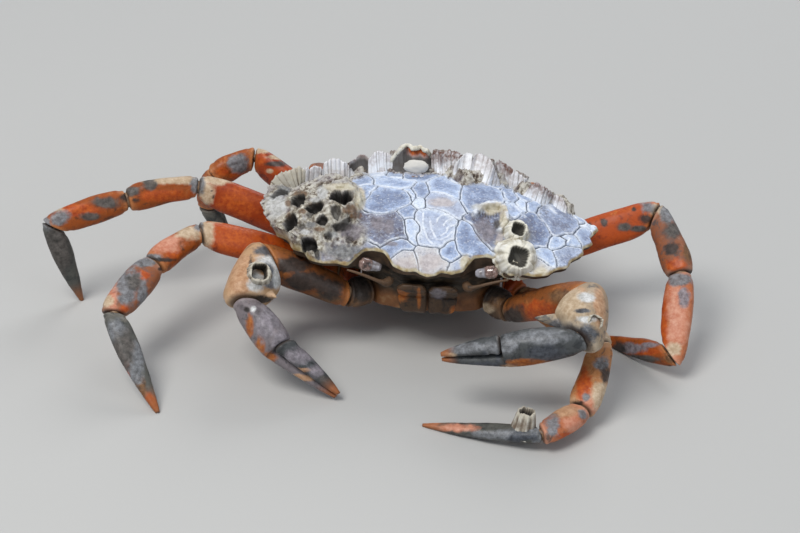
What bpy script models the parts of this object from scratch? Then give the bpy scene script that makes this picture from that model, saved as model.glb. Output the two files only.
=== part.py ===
"""A life-size green crab (Carcinus maenas), standing still, its shield crusted with barnacles.

The crab faces -Y, its own left side is at +X, and it stands on the floor at z = 0.
Sizes below are in millimetres and become metres where a mesh is made.
"""
import math
import random

import bmesh
import bpy
from mathutils import Matrix, Vector

MM = 0.001
GAP = 0.3
WELD = 0.005

# Driving sizes of the shield, seen from above. HALF_MARGIN runs from the front to the rear on the left side.
RIM_Z = 23.0
DOME = 7.4
DOME_POWER = 2.4
REAR_DROP = 4.0
REAR_START = -3.0
REAR_POWER = 1.2
HALF_LENGTH = 27.0
SHIELD_EDGE = 1.5
UNDERSIDE_SHARES = (0.985, 0.5)
HALF_SMOOTH = [(0, -26.2), (9, -25.4), (18, -24.0), (25.6, -20.4), (30.4, -14.4), (33.2, -7.0), (33.4, -1.8),
               (29.6, 3.6), (23.0, 14.0), (17.4, 22.6), (9.5, 26.4), (0, 27.2)]
HALF_MARGIN = [(0, -27.4), (2.6, -25.8), (4.8, -26.0), (7.4, -25.0), (8.2, -23.4), (9.4, -22.2),
               (11.6, -21.6), (13.8, -21.6), (15.2, -22.8), (16.4, -25.0), (19.2, -23.8), (22.2, -24.4),
               (24.9, -23.4), (26.2, -21.2), (28.8, -20.0), (29.6, -16.9), (32.0, -14.2), (32.0, -11.4),
               (34.0, -9.4), (33.4, -6.6), (35.4, -2.6), (32.6, -0.4), (29.6, 3.6), (26.4, 8.8), (23.0, 14.0),
               (20.2, 18.6), (17.0, 22.8), (13.0, 25.6), (6.5, 26.9), (0, 27.2)]
RING_STEPS = [0.28, 0.5, 0.7, 0.84, 0.94]

# A low mound of old barnacle walls at the shield's right front corner: middle, half widths and height.
MOUND_MIDDLE = (-24.0, -10.5)
MOUND_HALF = (9.5, 13.0)
MOUND_HEIGHT = 2.0
MOUND_FADE = (0.45, 1.05)

# Barnacles on the shield: kind, x, y, foot radius, height, and how far each leans along x and y.
BARNACLES = [
    ("cluster", -19.2, -11.5, 5.0, 2.4, 0.0, -0.1), ("cluster", -24.1, -20.0, 4.0, 3.0, -0.1, -0.4),
    ("cluster", -27.6, -15.2, 3.0, 3.0, -0.6, -0.3), ("cluster", -22.2, -16.4, 2.4, 2.8, 0.0, -0.3),
    ("cluster", -24.0, -12.8, 2.8, 2.6, 0.0, -0.2), ("cluster", -27.3, -9.8, 2.8, 2.8, -0.1, -0.1),
    ("cluster", -30.4, -2.4, 3.0, 4.4, -0.5, 0.1), ("cluster", -25.4, -3.4, 2.6, 3.0, 0.0, 0.1),
    ("cluster", -31.0, -7.4, 2.8, 3.4, -0.6, 0.0),
    ("margin", 17.9, -21.0, 4.1, 3.4, 0.1, -0.7), ("margin", 17.4, -14.8, 2.7, 3.2, 0.1, -0.6),
    ("arch", 12.0, -12.4, 3.8, 2.8, -0.1, -0.3),
    ("row", -28.8, 2.6, 2.8, 5.2, -0.3, 0.2), ("row", -25.8, 4.8, 2.7, 4.6, -0.1, 0.2),
    ("row", -20.4, 7.2, 3.3, 5.0, -0.1, 0.2), ("hollow", -15.8, 8.4, 1.9, 4.0, 0.0, 0.2),
    ("row", -12.2, 8.4, 2.6, 4.6, 0.0, 0.2), ("hollow", -4.8, 7.6, 4.4, 5.4, 0.0, 0.1),
    ("row", 2.2, 7.2, 2.2, 4.6, 0.0, 0.2), ("row", 5.3, 5.4, 2.7, 5.0, 0.0, 0.2),
    ("row", 9.8, 5.0, 3.1, 5.2, 0.0, 0.2), ("row", 13.9, 6.0, 2.0, 4.2, 0.1, 0.2),
    ("row", 16.9, 3.6, 2.6, 3.7, 0.1, 0.2), ("row", 21.4, 1.8, 2.7, 3.6, 0.1, 0.2),
    ("row", 25.2, -0.8, 2.0, 3.0, 0.2, 0.2),
    ("rear", -9.0, 16.4, 2.8, 3.2, 0.0, 0.2), ("rear", 0.6, 15.2, 3.0, 3.4, 0.0, 0.2),
    ("rear", 9.6, 14.2, 2.6, 3.0, 0.0, 0.2), ("rear", 17.2, 11.8, 2.2, 2.6, 0.1, 0.2),
    ("rear", -17.8, 14.4, 2.6, 3.0, -0.1, 0.2), ("rear", 4.6, 21.0, 2.2, 2.4, 0.0, 0.2),
    ("rear", -5.0, 22.0, 2.0, 2.4, 0.0, 0.2)]
BARNACLE_SIDES = 12
WAIST = (0.35, 0.86)
MOUTH = 0.62
THROAT = 0.4
HOLLOW_FLOOR = (0.35, 0.28)
LIP_DROP = 0.2
RIB_DEPTH = 0.13
RIB_VARIES = 0.04
RIM_VARIES = 0.25
FOOT_SINK = 1.2
FIRST_SEED = 5300

# Lime plates left on the shield between the barnacles: x, y and rough radius of each.
PLATES = [(-9.3, -8.3, 4.6), (-10.5, 1.1, 3.4), (-3.8, 2.6, 3.4), (2.0, -3.2, 3.2), (2.4, -9.0, 3.6),
          (9.9, -4.8, 4.4), (-9.4, -16.1, 4.0), (-4.3, -17.4, 2.2), (-5.6, -12.4, 2.2), (-2.6, -9.0, 1.6),
          (-3.5, -4.8, 2.2), (1.4, -16.0, 4.2), (4.6, -21.4, 2.2), (0.2, -24.2, 3.2), (-5.4, -24.6, 2.8),
          (-6.6, -20.9, 2.4), (8.7, -18.3, 3.8), (18.3, -4.2, 1.6), (16.6, -7.2, 1.8), (20.2, -5.4, 1.6),
          (21.4, -11.0, 3.2), (26.0, -6.4, 3.4), (31.4, -4.4, 2.4), (28.4, -10.8, 2.2), (29.0, -14.2, 2.2),
          (24.2, -17.7, 2.8), (-15.8, -21.5, 3.0), (-10.9, -23.6, 2.2), (-15.0, -4.8, 3.2), (-15.6, 1.8, 2.6),
          (5.2, 1.4, 2.6), (13.4, 0.4, 2.4), (19.0, 0.0, 2.2), (-20.6, 0.2, 2.6), (6.6, -24.6, 2.0)]
REAR_PLATES = [(-13.0, 12.6, 3.0), (-4.8, 13.4, 3.2), (5.0, 12.6, 3.0), (13.2, 11.2, 3.0), (21.6, 8.6, 2.8),
               (-22.4, 10.6, 3.0), (-13.4, 19.4, 2.8), (-4.4, 19.0, 2.6), (1.0, 20.4, 2.4), (10.0, 19.6, 3.0),
               (16.4, 17.4, 2.6)]
PLATE_RISE = 0.45
PLATE_SINK = 0.9
PLATE_GROOVE = 0.3
PLATE_REACH = 7.5
PLATE_CORNERS = 10
PLATE_LIMIT = 0.955
PLATE_SMALLEST = 3.0
SOCKET_REACH = -14.0
SOCKET_BACK = -17.4
SOCKET_INNER = 7.0
SOCKET_OUTER = 17.2

# Legs: wall point, end of the base, knee, end of the carpus, end of the propodus, tip. The tips stand at z = 0.
LEG_JOINTS = {
    "leg1_left": [(15.0, -7.6, 10.4), (19.6, -10.2, 9.8), (36.2, -31.4, 11.0), (32.8, -45.1, 4.2),
                  (25.0, -53.9, 3.5), (1.2, -48.4, 0.3)],
    "leg2_left": [(15.0, -0.2, 11.0), (20.2, 0.6, 11.8), (47.7, 6.0, 22.2), (53.0, -7.6, 15.6),
                  (51.5, -23.4, 5.1), (36.7, -9.9, 0.2)],
    "leg3_left": [(15.0, 7.8, 11.0), (19.8, 10.2, 10.6), (24.4, 33.0, 7.4), (19.4, 43.2, 7.0),
                  (8.0, 51.6, 5.4), (-7.6, 57.6, 0.1)],
    "leg4_left": [(13.2, 14.0, 11.6), (15.2, 17.8, 11.6), (16.0, 32.0, 9.4), (9.4, 38.2, 8.6),
                  (0.2, 43.6, 5.8), (-11.0, 48.2, 0.1)],
    "leg1_right": [(-15.0, -8.2, 11.0), (-20.0, -8.8, 11.8), (-49.6, -10.2, 19.8), (-57.6, -21.6, 18.0),
                   (-63.7, -35.4, 13.8), (-52.4, -49.9, 0.1)],
    "leg2_right": [(-15.0, 0.0, 11.0), (-20.2, 0.6, 12.0), (-51.9, 3.0, 24.0), (-66.6, -2.1, 22.5),
                   (-81.5, -9.4, 19.0), (-76.3, -7.8, 0.0)],
    "leg3_right": [(-15.0, 8.2, 11.0), (-19.8, 9.6, 11.8), (-41.6, 19.0, 23.6), (-49.6, 15.4, 20.6),
                   (-53.0, 22.6, 9.0), (-47.2, 22.4, 0.1)],
    "leg4_right": [(-13.2, 14.0, 11.6), (-15.6, 17.8, 12.0), (-25.0, 30.4, 13.6), (-29.6, 38.0, 11.2),
                   (-26.4, 47.0, 7.0), (-20.0, 55.0, 0.1)]}
SEGMENTS = ["base", "merus", "carpus", "propodus", "dactyl"]

# Each profile lists: share of the length, half height and half thickness. Stoutness widens single segments.
WALKING = {
    "base": [(0, 2.6, 2.2), (0.12, 3.1, 2.6), (0.6, 3.2, 2.7), (1, 2.1, 1.8)],
    "merus": [(0, 2.1, 1.7), (0.08, 2.9, 2.1), (0.2, 3.2, 2.2), (0.45, 3.7, 2.3), (0.8, 3.6, 2.2),
              (0.94, 3.1, 2.0), (1, 2.1, 1.7)],
    "carpus": [(0, 1.8, 1.5), (0.1, 2.5, 1.9), (0.4, 2.8, 2.1), (0.75, 3.1, 2.3), (0.92, 2.9, 2.2),
               (1, 2.1, 1.7)],
    "propodus": [(0, 1.9, 1.5), (0.1, 2.7, 1.9), (0.4, 3.1, 2.1), (0.75, 2.9, 1.9), (0.93, 2.4, 1.8),
                 (1, 1.7, 1.4)],
    "dactyl": [(0, 1.6, 1.3), (0.08, 2.2, 1.7), (0.3, 2.4, 1.7), (0.6, 1.9, 1.3), (0.85, 1.1, 0.9),
               (1, 0.45, 0.45)]}
SWIMMING = {
    "base": [(0, 2.2, 2.0), (0.15, 2.6, 2.4), (0.6, 2.6, 2.4), (1, 1.9, 1.7)],
    "merus": [(0, 1.8, 1.6), (0.1, 2.4, 2.0), (0.6, 2.8, 2.0), (0.9, 2.6, 1.9), (1, 1.9, 1.6)],
    "carpus": [(0, 1.6, 1.4), (0.15, 2.2, 1.7), (0.8, 2.5, 1.7), (1, 1.8, 1.4)],
    "propodus": [(0, 1.7, 1.3), (0.15, 2.5, 1.4), (0.6, 2.8, 1.3), (0.9, 2.3, 1.2), (1, 1.6, 1.1)],
    "dactyl": [(0, 1.5, 1.0), (0.2, 2.4, 1.0), (0.5, 2.5, 0.9), (0.8, 1.5, 0.7), (1, 0.5, 0.45)]}
STOUTNESS = {"leg1_right_propodus": 1.14, "leg1_right_dactyl": 1.08, "leg2_left_carpus": 1.1,
             "leg2_left_propodus": 1.08, "leg1_left_carpus": 1.08, "leg1_left_dactyl": 0.86}
BOW = {"base": 0.0, "merus": 0.7, "carpus": 0.5, "propodus": 0.3, "dactyl": 1.1}
LOW_BOW = 0.2
SEGMENT_SIDES = 12
TIP_SPREAD = 0.6

# Claws: wall point, ends of the base, merus and carpus, finger joint and tip, then the tip of the inner spine.
CLAW_JOINTS = {
    "claw_left": [(12.8, -14.5, 11.2), (17.2, -18.6, 11.0), (32.2, -28.4, 20.8), (31.3, -41.8, 18.8),
                  (15.2, -42.2, 14.9), (4.1, -40.8, 12.0)],
    "claw_right": [(-12.8, -14.5, 11.4), (-17.2, -18.6, 12.2), (-34.3, -19.8, 20.0), (-37.0, -32.4, 16.8),
                   (-28.7, -39.2, 9.8), (-16.9, -41.2, 1.4)]}
CLAW_SPINE = {"claw_left": (22.4, -34.6, 18.9), "claw_right": (-30.6, -31.6, 18.0)}
CLAW = {
    "base": [(0, 2.6, 2.5), (0.15, 3.1, 3.0), (0.6, 3.2, 3.0), (1, 2.4, 2.4)],
    "merus": [(0, 2.3, 2.3), (0.12, 3.0, 3.0), (0.4, 3.4, 3.2), (0.75, 3.7, 3.5), (0.93, 3.3, 3.1),
              (1, 2.6, 2.5)],
    "carpus": [(0, 2.7, 2.6), (0.09, 4.1, 3.8), (0.22, 5.0, 4.5), (0.5, 5.4, 4.9), (0.8, 5.0, 4.6),
               (0.93, 4.1, 3.8), (1, 2.8, 2.7)]}
PALM = [(0, 2.0, 1.9), (0.08, 2.7, 2.5), (0.3, 3.4, 2.9), (0.6, 3.7, 3.1), (0.85, 3.5, 2.9), (0.92, 3.2, 2.7)]
LOWER_FINGER = [(0.0, 1.5, 2.2), (0.4, 1.15, 1.8), (0.8, 0.75, 1.1), (1, 0.4, 0.45)]
UPPER_FINGER = [(0.0, 1.2, 1.8), (0.05, 1.55, 2.3), (0.2, 1.5, 2.3), (0.5, 1.15, 1.9), (0.85, 0.7, 1.1),
                (1, 0.4, 0.45)]
SPINE_SHARE = 0.62
SPINE_SIZES = [(0, 2.2), (0.6, 1.36), (1, 0.3)]
SPINE_SIDES = 8

# Barnacles on the limbs: node, foot, mouth and foot radius.
LIMB_BARNACLES = {
    "claw_right_carpus": ((-35.2, -27.0, 19.6), (-34.0, -31.4, 23.8), 3.3),
    "claw_left_carpus": ((32.2, -37.4, 19.4), (34.4, -41.6, 23.0), 2.4),
    "leg1_left_dactyl": ((21.4, -51.9, 3.0), (21.9, -51.6, 7.4), 2.8)}

# Body under the shield: its outline from above, and the outline's share at each height.
BODY_TOP_SHARE = 0.86
SOCKET_TOP_SHARE = 0.74
BODY_LOW = 5.4
BODY_LEVELS = [(14.6, 1.0), (7.8, 1.0), (BODY_LOW, 0.84)]
FLARE_LEVEL = 18.0
FLARE_MIX = 0.7
BELLY_RISE = 3.0
BELLY_START = -4.0
BELLY_POWER = 1.2
FLARE_DROP = 0.6
BODY_OUTLINE = [(0, -19.6), (5.6, -19.4), (10.6, -17.6), (15.0, -11.4), (15.0, -4.0), (15.0, 4.0), (15.0, 12.0),
                (11.4, 16.0), (8.4, 18.8), (0, 19.4)]

# Face: inner and outer ends of each eye, the antenna's path, and the mouth's outer plates by height, y of the
# back, inner and outer edge, and thickness.
EYE_INNER = (9.8, -23.3, 21.8)
EYE_OUTER = (14.4, -23.6, 22.8)
EYE_PROFILE = [(0, 0.6), (0.12, 0.9), (0.35, 1.05), (0.6, 1.4), (0.82, 1.35), (0.95, 0.85), (1, 0.45)]
FEELER_PATH = [(7.9, -23.4, 19.0), (8.3, -24.6, 19.2), (9.0, -25.6, 19.6), (10.4, -26.2, 20.4),
               (12.4, -26.6, 21.4), (14.4, -26.8, 22.2), (16.6, -26.8, 22.8)]
FEELER_SIZES = [0.9, 1.0, 0.75, 0.42, 0.36, 0.3, 0.24]
FEELER_SIDES = 8
MOUTH_LEVELS = [(10.2, -20.0, 0.4, 4.6, 1.2), (11.0, -20.0, 0.2, 5.6, 1.8), (14.0, -20.0, 0.2, 6.2, 2.2),
                (14.6, -20.1, 0.2, 5.8, 1.7), (15.1, -20.3, 0.2, 6.2, 2.2), (17.4, -22.6, 0.3, 6.4, 2.0),
                (18.6, -23.6, 1.0, 5.4, 1.2)]

MOUTH_BEVEL = (0.9, 0.5)
MOUTH_SIDES = (0.6, 0.7)

# Tail under the body: path as y and height, and the half width at each seam.
TAIL_PATH = [(25.0, 16.8), (23.2, 12.0), (21.3, 7.2), (16.8, 4.3), (12.0, 4.2), (6.0, 4.2), (0.0, 4.2),
             (-5.4, 4.2), (-9.0, 4.25)]
TAIL_HALF_WIDTHS = [6.6, 7.6, 8.6, 9.8, 10.6, 10.8, 9.6, 6.6, 2.6]
TAIL_HALF_THICK = 0.8
TAIL_SEAM = 0.7
TAIL_THIN = 0.8
TAIL_SIDES = 12
TAIL_POWER = 0.7

# Colours: linear red, green and blue, then roughness.
SHELL_CRUST = ((0.46, 0.47, 0.52), 0.85)
SHELL_ORANGE = ((0.62, 0.13, 0.03), 0.45)
SHELL_BROWN = ((0.10, 0.055, 0.03), 0.6)
SHELL_MUD = ((0.16, 0.15, 0.16), 0.7)
EYE_DARK = ((0.05, 0.03, 0.03), 0.2)


def clear_scene():
    for item in list(bpy.data.objects):
        bpy.data.objects.remove(item, do_unlink=True)


def material(name, finish):
    made = bpy.data.materials.get(name)
    if made is None:
        made = bpy.data.materials.new(name)
        made.use_nodes = True
        shader = made.node_tree.nodes["Principled BSDF"]
        shader.inputs["Base Color"].default_value = (*finish[0], 1.0)
        shader.inputs["Roughness"].default_value = finish[1]
        shader.inputs["Metallic"].default_value = 0.0
    return made


def link(name, mesh_data, finish_name, finish):
    """Adds a named object of a finished mesh to the crab."""
    made = bpy.data.objects.new(name, mesh_data)
    CRAB.objects.link(made)
    mesh_data.materials.append(material(finish_name, finish))
    mesh_data.shade_smooth()
    mesh_data.set_sharp_from_angle(angle=math.radians(40))
    return made


def loft(rings, floor=False):
    """A closed mesh through rings of equally many points in millimetres; floor cuts it flat at z = 0."""
    form = bmesh.new()
    loops = [[form.verts.new(Vector(p) * MM) for p in ring] for ring in rings]
    count = len(loops[0])
    for low, high in zip(loops, loops[1:]):
        for k in range(count):
            form.faces.new((low[k], low[(k + 1) % count], high[(k + 1) % count], high[k]))
    form.faces.new(list(reversed(loops[0])))
    form.faces.new(loops[-1])
    if floor:
        parts = form.verts[:] + form.edges[:] + form.faces[:]
        bmesh.ops.bisect_plane(form, geom=parts, plane_co=(0, 0, 0), plane_no=(0, 0, -1), clear_outer=True)
        bmesh.ops.holes_fill(form, edges=[e for e in form.edges if e.is_boundary], sides=0)
    bmesh.ops.triangulate(form, faces=[f for f in form.faces if len(f.verts) > 3])
    bmesh.ops.recalc_face_normals(form, faces=form.faces[:])
    mesh_data = bpy.data.meshes.new("loft")
    form.to_mesh(mesh_data)
    form.free()
    return mesh_data


def oval(centre, up, side, half_up, half_side, count=SEGMENT_SIDES, power=0.85):
    """Points of a slightly boxy oval round a centre."""
    points = []
    for k in range(count):
        angle = 2 * math.pi * k / count
        c, s = math.cos(angle), math.sin(angle)
        reach_up = math.copysign(abs(c) ** power, c) * half_up
        reach_side = math.copysign(abs(s) ** power, s) * half_side
        points.append(centre + up * reach_up + side * reach_side)
    return points


def limb_normal(joints):
    """The sideways direction of a limb, square to the plane that its joints lie in, towards the front."""
    total = Vector()
    chord = joints[-1] - joints[0]
    for point in joints[1:-1]:
        total += chord.cross(point - joints[0])
    total.normalize()
    return -total if total.y > 0 else total


def axes_of(start, end, normal, hand=1):
    """Length direction, upper direction and side direction of one limb segment."""
    axis = (end - start).normalized()
    side = (normal - axis * normal.dot(axis)).normalized()
    return axis, axis.cross(side) * hand, side


def tube(start, end, profile, normal, hand, cut_start, cut_end, bow=0.0):
    """Rings of one limb segment, mitred where a cut (plane normal, distance kept) is given at an end."""
    axis, up, side = axes_of(start, end, normal, hand)
    length = (end - start).length
    rings = []
    for share, half_up, half_side in profile:
        lift = up * bow * math.sin(math.pi * share)
        ring = []
        for point in oval(Vector(), up, side, half_up, half_side):
            slide = share * length
            if cut_start is not None:
                plane, keep = cut_start
                shift = (keep - point.dot(plane)) / axis.dot(plane)
                slide += shift * max(0.0, 1 - 2 * share)
            if cut_end is not None:
                plane, keep = cut_end
                shift = (-keep - point.dot(plane)) / axis.dot(plane)
                slide += shift * max(0.0, 2 * share - 1)
            ring.append(start + axis * slide + point + lift)
        rings.append(ring)
    return rings


def mitres(joints, wall):
    """The cut at each joint: the wall's plane at the root, and halfway between two segments after that."""
    directions = [(b - a).normalized() for a, b in zip(joints, joints[1:])]
    cuts = [(wall, GAP)]
    for before, after in zip(directions, directions[1:]):
        cuts.append(((before + after).normalized(), GAP / 2))
    cuts.append(None)
    return cuts


def wall_direction(point):
    """Outward normal of the body's wall at a limb's root."""
    sign = math.copysign(1, point.x)
    if point.y < BODY_OUTLINE[3][1]:
        a, b = BODY_OUTLINE[2], BODY_OUTLINE[3]
    elif point.y > BODY_OUTLINE[6][1]:
        a, b = BODY_OUTLINE[6], BODY_OUTLINE[7]
    else:
        return Vector((sign, 0, 0))
    return Vector(((b[1] - a[1]) * sign, a[0] - b[0], 0)).normalized()


def handedness(joints, normal):
    """Plus or minus one, so that the limb's upper direction points up at its second segment."""
    return 1 if axes_of(joints[1], joints[2], normal)[1].z > 0 else -1


def walking_leg(name):
    joints = [Vector(p) for p in LEG_JOINTS[name]]
    normal = limb_normal(joints[1:])
    hand = handedness(joints, normal)
    cuts = mitres(joints, wall_direction(joints[0]))
    table = SWIMMING if name.startswith("leg4") else WALKING
    for i, part in enumerate(SEGMENTS):
        raised = axes_of(joints[i], joints[i + 1], normal, hand)[1].z > 0
        bow = BOW[part] * (1 if raised else LOW_BOW)
        stout = STOUTNESS.get(f"{name}_{part}", 1.0)
        profile = [(share, high * stout, wide * stout) for share, high, wide in table[part]]
        rings = tube(joints[i], joints[i + 1], profile, normal, hand, cuts[i], cuts[i + 1], bow)
        made = link(f"{name}_{part}", loft(rings, floor=(part == "dactyl")), "orange_shell", SHELL_ORANGE)
        if made.name in LIMB_BARNACLES:
            fuse(made, [limb_barnacle(made.name)])


def finger_rings(start, end, profile, up, side):
    return [oval(start.lerp(end, share), up, side, a, b) for share, a, b in profile]


def claw(name):
    """One claw: base, merus, carpus with its spine, palm with the fixed finger, and the movable finger."""
    joints = [Vector(p) for p in CLAW_JOINTS[name]]
    normal = limb_normal(joints[:4])
    hand = handedness(joints, normal)
    cuts = mitres(joints, wall_direction(joints[0]))
    for i, part in enumerate(["base", "merus", "carpus"]):
        rings = tube(joints[i], joints[i + 1], CLAW[part], normal, hand, cuts[i], cuts[i + 1])
        made = link(f"{name}_{part}", loft(rings), "orange_shell", SHELL_ORANGE)
        if part == "carpus":
            fuse(made, [spine(joints[2].lerp(joints[3], SPINE_SHARE), Vector(CLAW_SPINE[name])),
                        limb_barnacle(made.name)])
    wrist, knuckle, tip = joints[3:6]
    level = (tip - wrist).cross(Vector((0, 0, 1))).normalized()
    level = -level if level.y > 0 else level
    hand = 1 if axes_of(wrist, knuckle, level)[1].z > 0 else -1
    axis, up, side = axes_of(wrist, knuckle, level, hand)
    rings = tube(wrist, knuckle, PALM, level, hand, cuts[3], None)
    palm_end = wrist.lerp(knuckle, PALM[-1][0])
    half_palm, half_lower = PALM[-1][1], LOWER_FINGER[0][1]
    half_upper = max(high for _, high, _ in UPPER_FINGER)
    root = palm_end - up * (half_palm - half_lower)
    rings += finger_rings(root, tip - up * TIP_SPREAD, LOWER_FINGER, up, side)
    link(f"{name}_palm", loft(rings), "claw_shell", SHELL_MUD)
    start = palm_end + axis * GAP + up * (half_palm - half_upper)
    rings = finger_rings(start, tip + up * TIP_SPREAD, UPPER_FINGER, up, side)
    link(f"{name}_finger", loft(rings), "claw_shell", SHELL_MUD)


def spine(root, tip):
    """A short cone from inside a limb out to its tip."""
    axis = (tip - root).normalized()
    side = axis.orthogonal().normalized()
    up = axis.cross(side)
    return loft([oval(root.lerp(tip, share), up, side, size, size, SPINE_SIDES, power=1)
                 for share, size in SPINE_SIZES])


def fuse(target, mesh_list, solver="EXACT"):
    """Joins closed meshes to an object in one Boolean union and keeps its largest closed surface."""
    pieces = bpy.data.collections.new("pieces")
    for data in mesh_list:
        pieces.objects.link(bpy.data.objects.new("piece", data))
    bpy.context.scene.collection.children.link(pieces)
    union = target.modifiers.new("union", "BOOLEAN")
    union.operation = "UNION"
    union.operand_type = "COLLECTION"
    union.collection = pieces
    union.solver = solver
    bpy.context.view_layer.update()
    joined = bpy.data.meshes.new_from_object(target.evaluated_get(bpy.context.evaluated_depsgraph_get()))
    target.modifiers.clear()
    target.data = joined
    for piece in list(pieces.objects):
        bpy.data.objects.remove(piece)
    bpy.data.collections.remove(pieces)
    keep_largest(target.data)


def keep_largest(mesh_data):
    """Keeps the closed surface of a mesh that has the most faces, and joins corners that almost meet."""
    form = bmesh.new()
    form.from_mesh(mesh_data)
    left = set(form.faces)
    groups = []
    while left:
        stack = [left.pop()]
        group = set(stack)
        while stack:
            for edge in stack.pop().edges:
                for face in edge.link_faces:
                    if face in left:
                        left.discard(face)
                        group.add(face)
                        stack.append(face)
        groups.append(group)
    groups.sort(key=len)
    for group in groups[:-1]:
        bmesh.ops.delete(form, geom=list(group), context="FACES")
    bmesh.ops.remove_doubles(form, verts=form.verts[:], dist=WELD * MM)
    form.to_mesh(mesh_data)
    form.free()


def rim(y):
    """Height of the shield's edge, which drops towards the rear."""
    return RIM_Z - REAR_DROP * max(0.0, (y - REAR_START) / (HALF_LENGTH - REAR_START)) ** REAR_POWER


def smooth_radius(angle):
    """Distance from the centre to the shield's edge without its teeth, by angle from the front."""
    polar = [(math.atan2(x, -y), math.hypot(x, y)) for x, y in HALF_SMOOTH]
    for (a0, r0), (a1, r1) in zip(polar, polar[1:]):
        if abs(angle) <= a1 + 1e-9:
            return r0 + (r1 - r0) * (abs(angle) - a0) / (a1 - a0)
    return polar[-1][1]


def shield_top(x, y):
    """Height of the shield's upper face."""
    share = min(math.hypot(x, y) / smooth_radius(math.atan2(x, -y)), 1.0)
    return rim(y) + DOME * (1 - share ** DOME_POWER) + mound(x, y)


def mound(x, y):
    """Height of the mound over the dome, fading out smoothly."""
    away = math.hypot((x - MOUND_MIDDLE[0]) / MOUND_HALF[0], (y - MOUND_MIDDLE[1]) / MOUND_HALF[1])
    fade = min(max((MOUND_FADE[1] - away) / (MOUND_FADE[1] - MOUND_FADE[0]), 0.0), 1.0)
    return MOUND_HEIGHT * fade * fade * (3 - 2 * fade)


def shield_normal(x, y, step=0.5):
    slope_x = (shield_top(x + step, y) - shield_top(x - step, y)) / (2 * step)
    slope_y = (shield_top(x, y + step) - shield_top(x, y - step)) / (2 * step)
    return Vector((-slope_x, -slope_y, 1)).normalized()


def margin():
    """The whole toothed edge, from the front round the left side and back."""
    right = [(-x, y) for x, y in reversed(HALF_MARGIN[1:-1])]
    return HALF_MARGIN + right


def shield():
    """The shield: a domed top, a toothed rim and a nearly flat underside."""
    edge = margin()
    rings = []
    for share in RING_STEPS:
        ring = []
        for x, y in edge:
            reach = share * min(1.0, smooth_radius(math.atan2(x, -y)) / math.hypot(x, y))
            ring.append((x * reach, y * reach, shield_top(x * reach, y * reach)))
        rings.append(ring)
    rings.append([(x, y, shield_top(x, y)) for x, y in edge])
    for share in UNDERSIDE_SHARES:
        rings.append([(x * share, y * share, rim(y * share) - SHIELD_EDGE) for x, y in edge])
    return loft(rings)


def barnacle(foot, axis, radius, height, seed):
    """A ribbed cone with a hollow mouth, its foot sunk in what carries it."""
    draw = random.Random(seed)
    side = axis.cross(Vector((0, 1, 0.2))).normalized()
    up = axis.cross(side)
    levels = [(-FOOT_SINK, 1.0), (height * WAIST[0], WAIST[1]), (height, MOUTH), (height - LIP_DROP, THROAT),
              (height * HOLLOW_FLOOR[0], HOLLOW_FLOOR[1])]
    ribs = [1 - RIB_DEPTH * (k % 2) + draw.uniform(-RIB_VARIES, RIB_VARIES) for k in range(BARNACLE_SIDES)]
    rings = []
    for along, share in levels:
        ring = []
        for k, rib in enumerate(ribs):
            angle = 2 * math.pi * k / BARNACLE_SIDES
            reach = radius * share * (1 if share <= THROAT else rib)
            tall = along + (draw.uniform(-RIM_VARIES, RIM_VARIES) if share == MOUTH else 0)
            ring.append(foot + axis * tall + (side * math.cos(angle) + up * math.sin(angle)) * reach)
        rings.append(ring)
    return loft(rings)


def shield_barnacle(entry, seed):
    _, x, y, radius, height, lean_x, lean_y = entry
    axis = (shield_normal(x, y) + Vector((lean_x, lean_y, 0))).normalized()
    return barnacle(Vector((x, y, shield_top(x, y))), axis, radius, height, seed)


def limb_barnacle(name):
    foot, mouth, radius = LIMB_BARNACLES[name]
    axis = Vector(mouth) - Vector(foot)
    return barnacle(Vector(foot), axis.normalized(), radius, axis.length, len(BARNACLES))


def clip(polygon, px, py, nx, ny):
    """Keeps the part of a flat polygon where (point - p) . n <= 0."""
    kept = []
    for (ax, ay), (bx, by) in zip(polygon, polygon[1:] + polygon[:1]):
        da = (ax - px) * nx + (ay - py) * ny
        db = (bx - px) * nx + (by - py) * ny
        if da <= 0:
            kept.append((ax, ay))
        if da * db < 0:
            t = da / (da - db)
            kept.append((ax + (bx - ax) * t, ay + (by - ay) * t))
    return kept


def plate_cells():
    """Outlines of the lime plates: each takes the ground nearest to it, with a groove to the next one."""
    sites = PLATES + REAR_PLATES
    cells = []
    for i, (x, y, size) in enumerate(sites):
        cell = [(x + PLATE_REACH * math.cos(a), y + PLATE_REACH * math.sin(a))
                for a in (2 * math.pi * k / PLATE_CORNERS for k in range(PLATE_CORNERS))]
        for j, (ox, oy, other) in enumerate(sites):
            far = math.hypot(ox - x, oy - y)
            if i == j or far > 2 * PLATE_REACH:
                continue
            share = 0.5 + (size ** 2 - other ** 2) / (2 * far ** 2)
            nx, ny = (ox - x) / far, (oy - y) / far
            reach = share * far - PLATE_GROOVE / 2
            cell = clip(cell, x + nx * reach, y + ny * reach, nx, ny)
        for cut in outline_cuts() + socket_cuts(x, y):
            cell = clip(cell, *cut)
        cells.append(tidy_polygon(cell))
    return [cell for cell in cells if area(cell) > PLATE_SMALLEST]


def outline_cuts():
    """Lines a little inside the shield's edge, each as a point and its outward direction."""
    outline = [(x * PLATE_LIMIT, y * PLATE_LIMIT) for x, y in HALF_SMOOTH]
    cuts = []
    for (ax, ay), (bx, by) in zip(outline, outline[1:]):
        cuts.append((ax, ay, by - ay, ax - bx))
        cuts.append((-ax, ay, ay - by, ax - bx))
    return cuts


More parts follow.
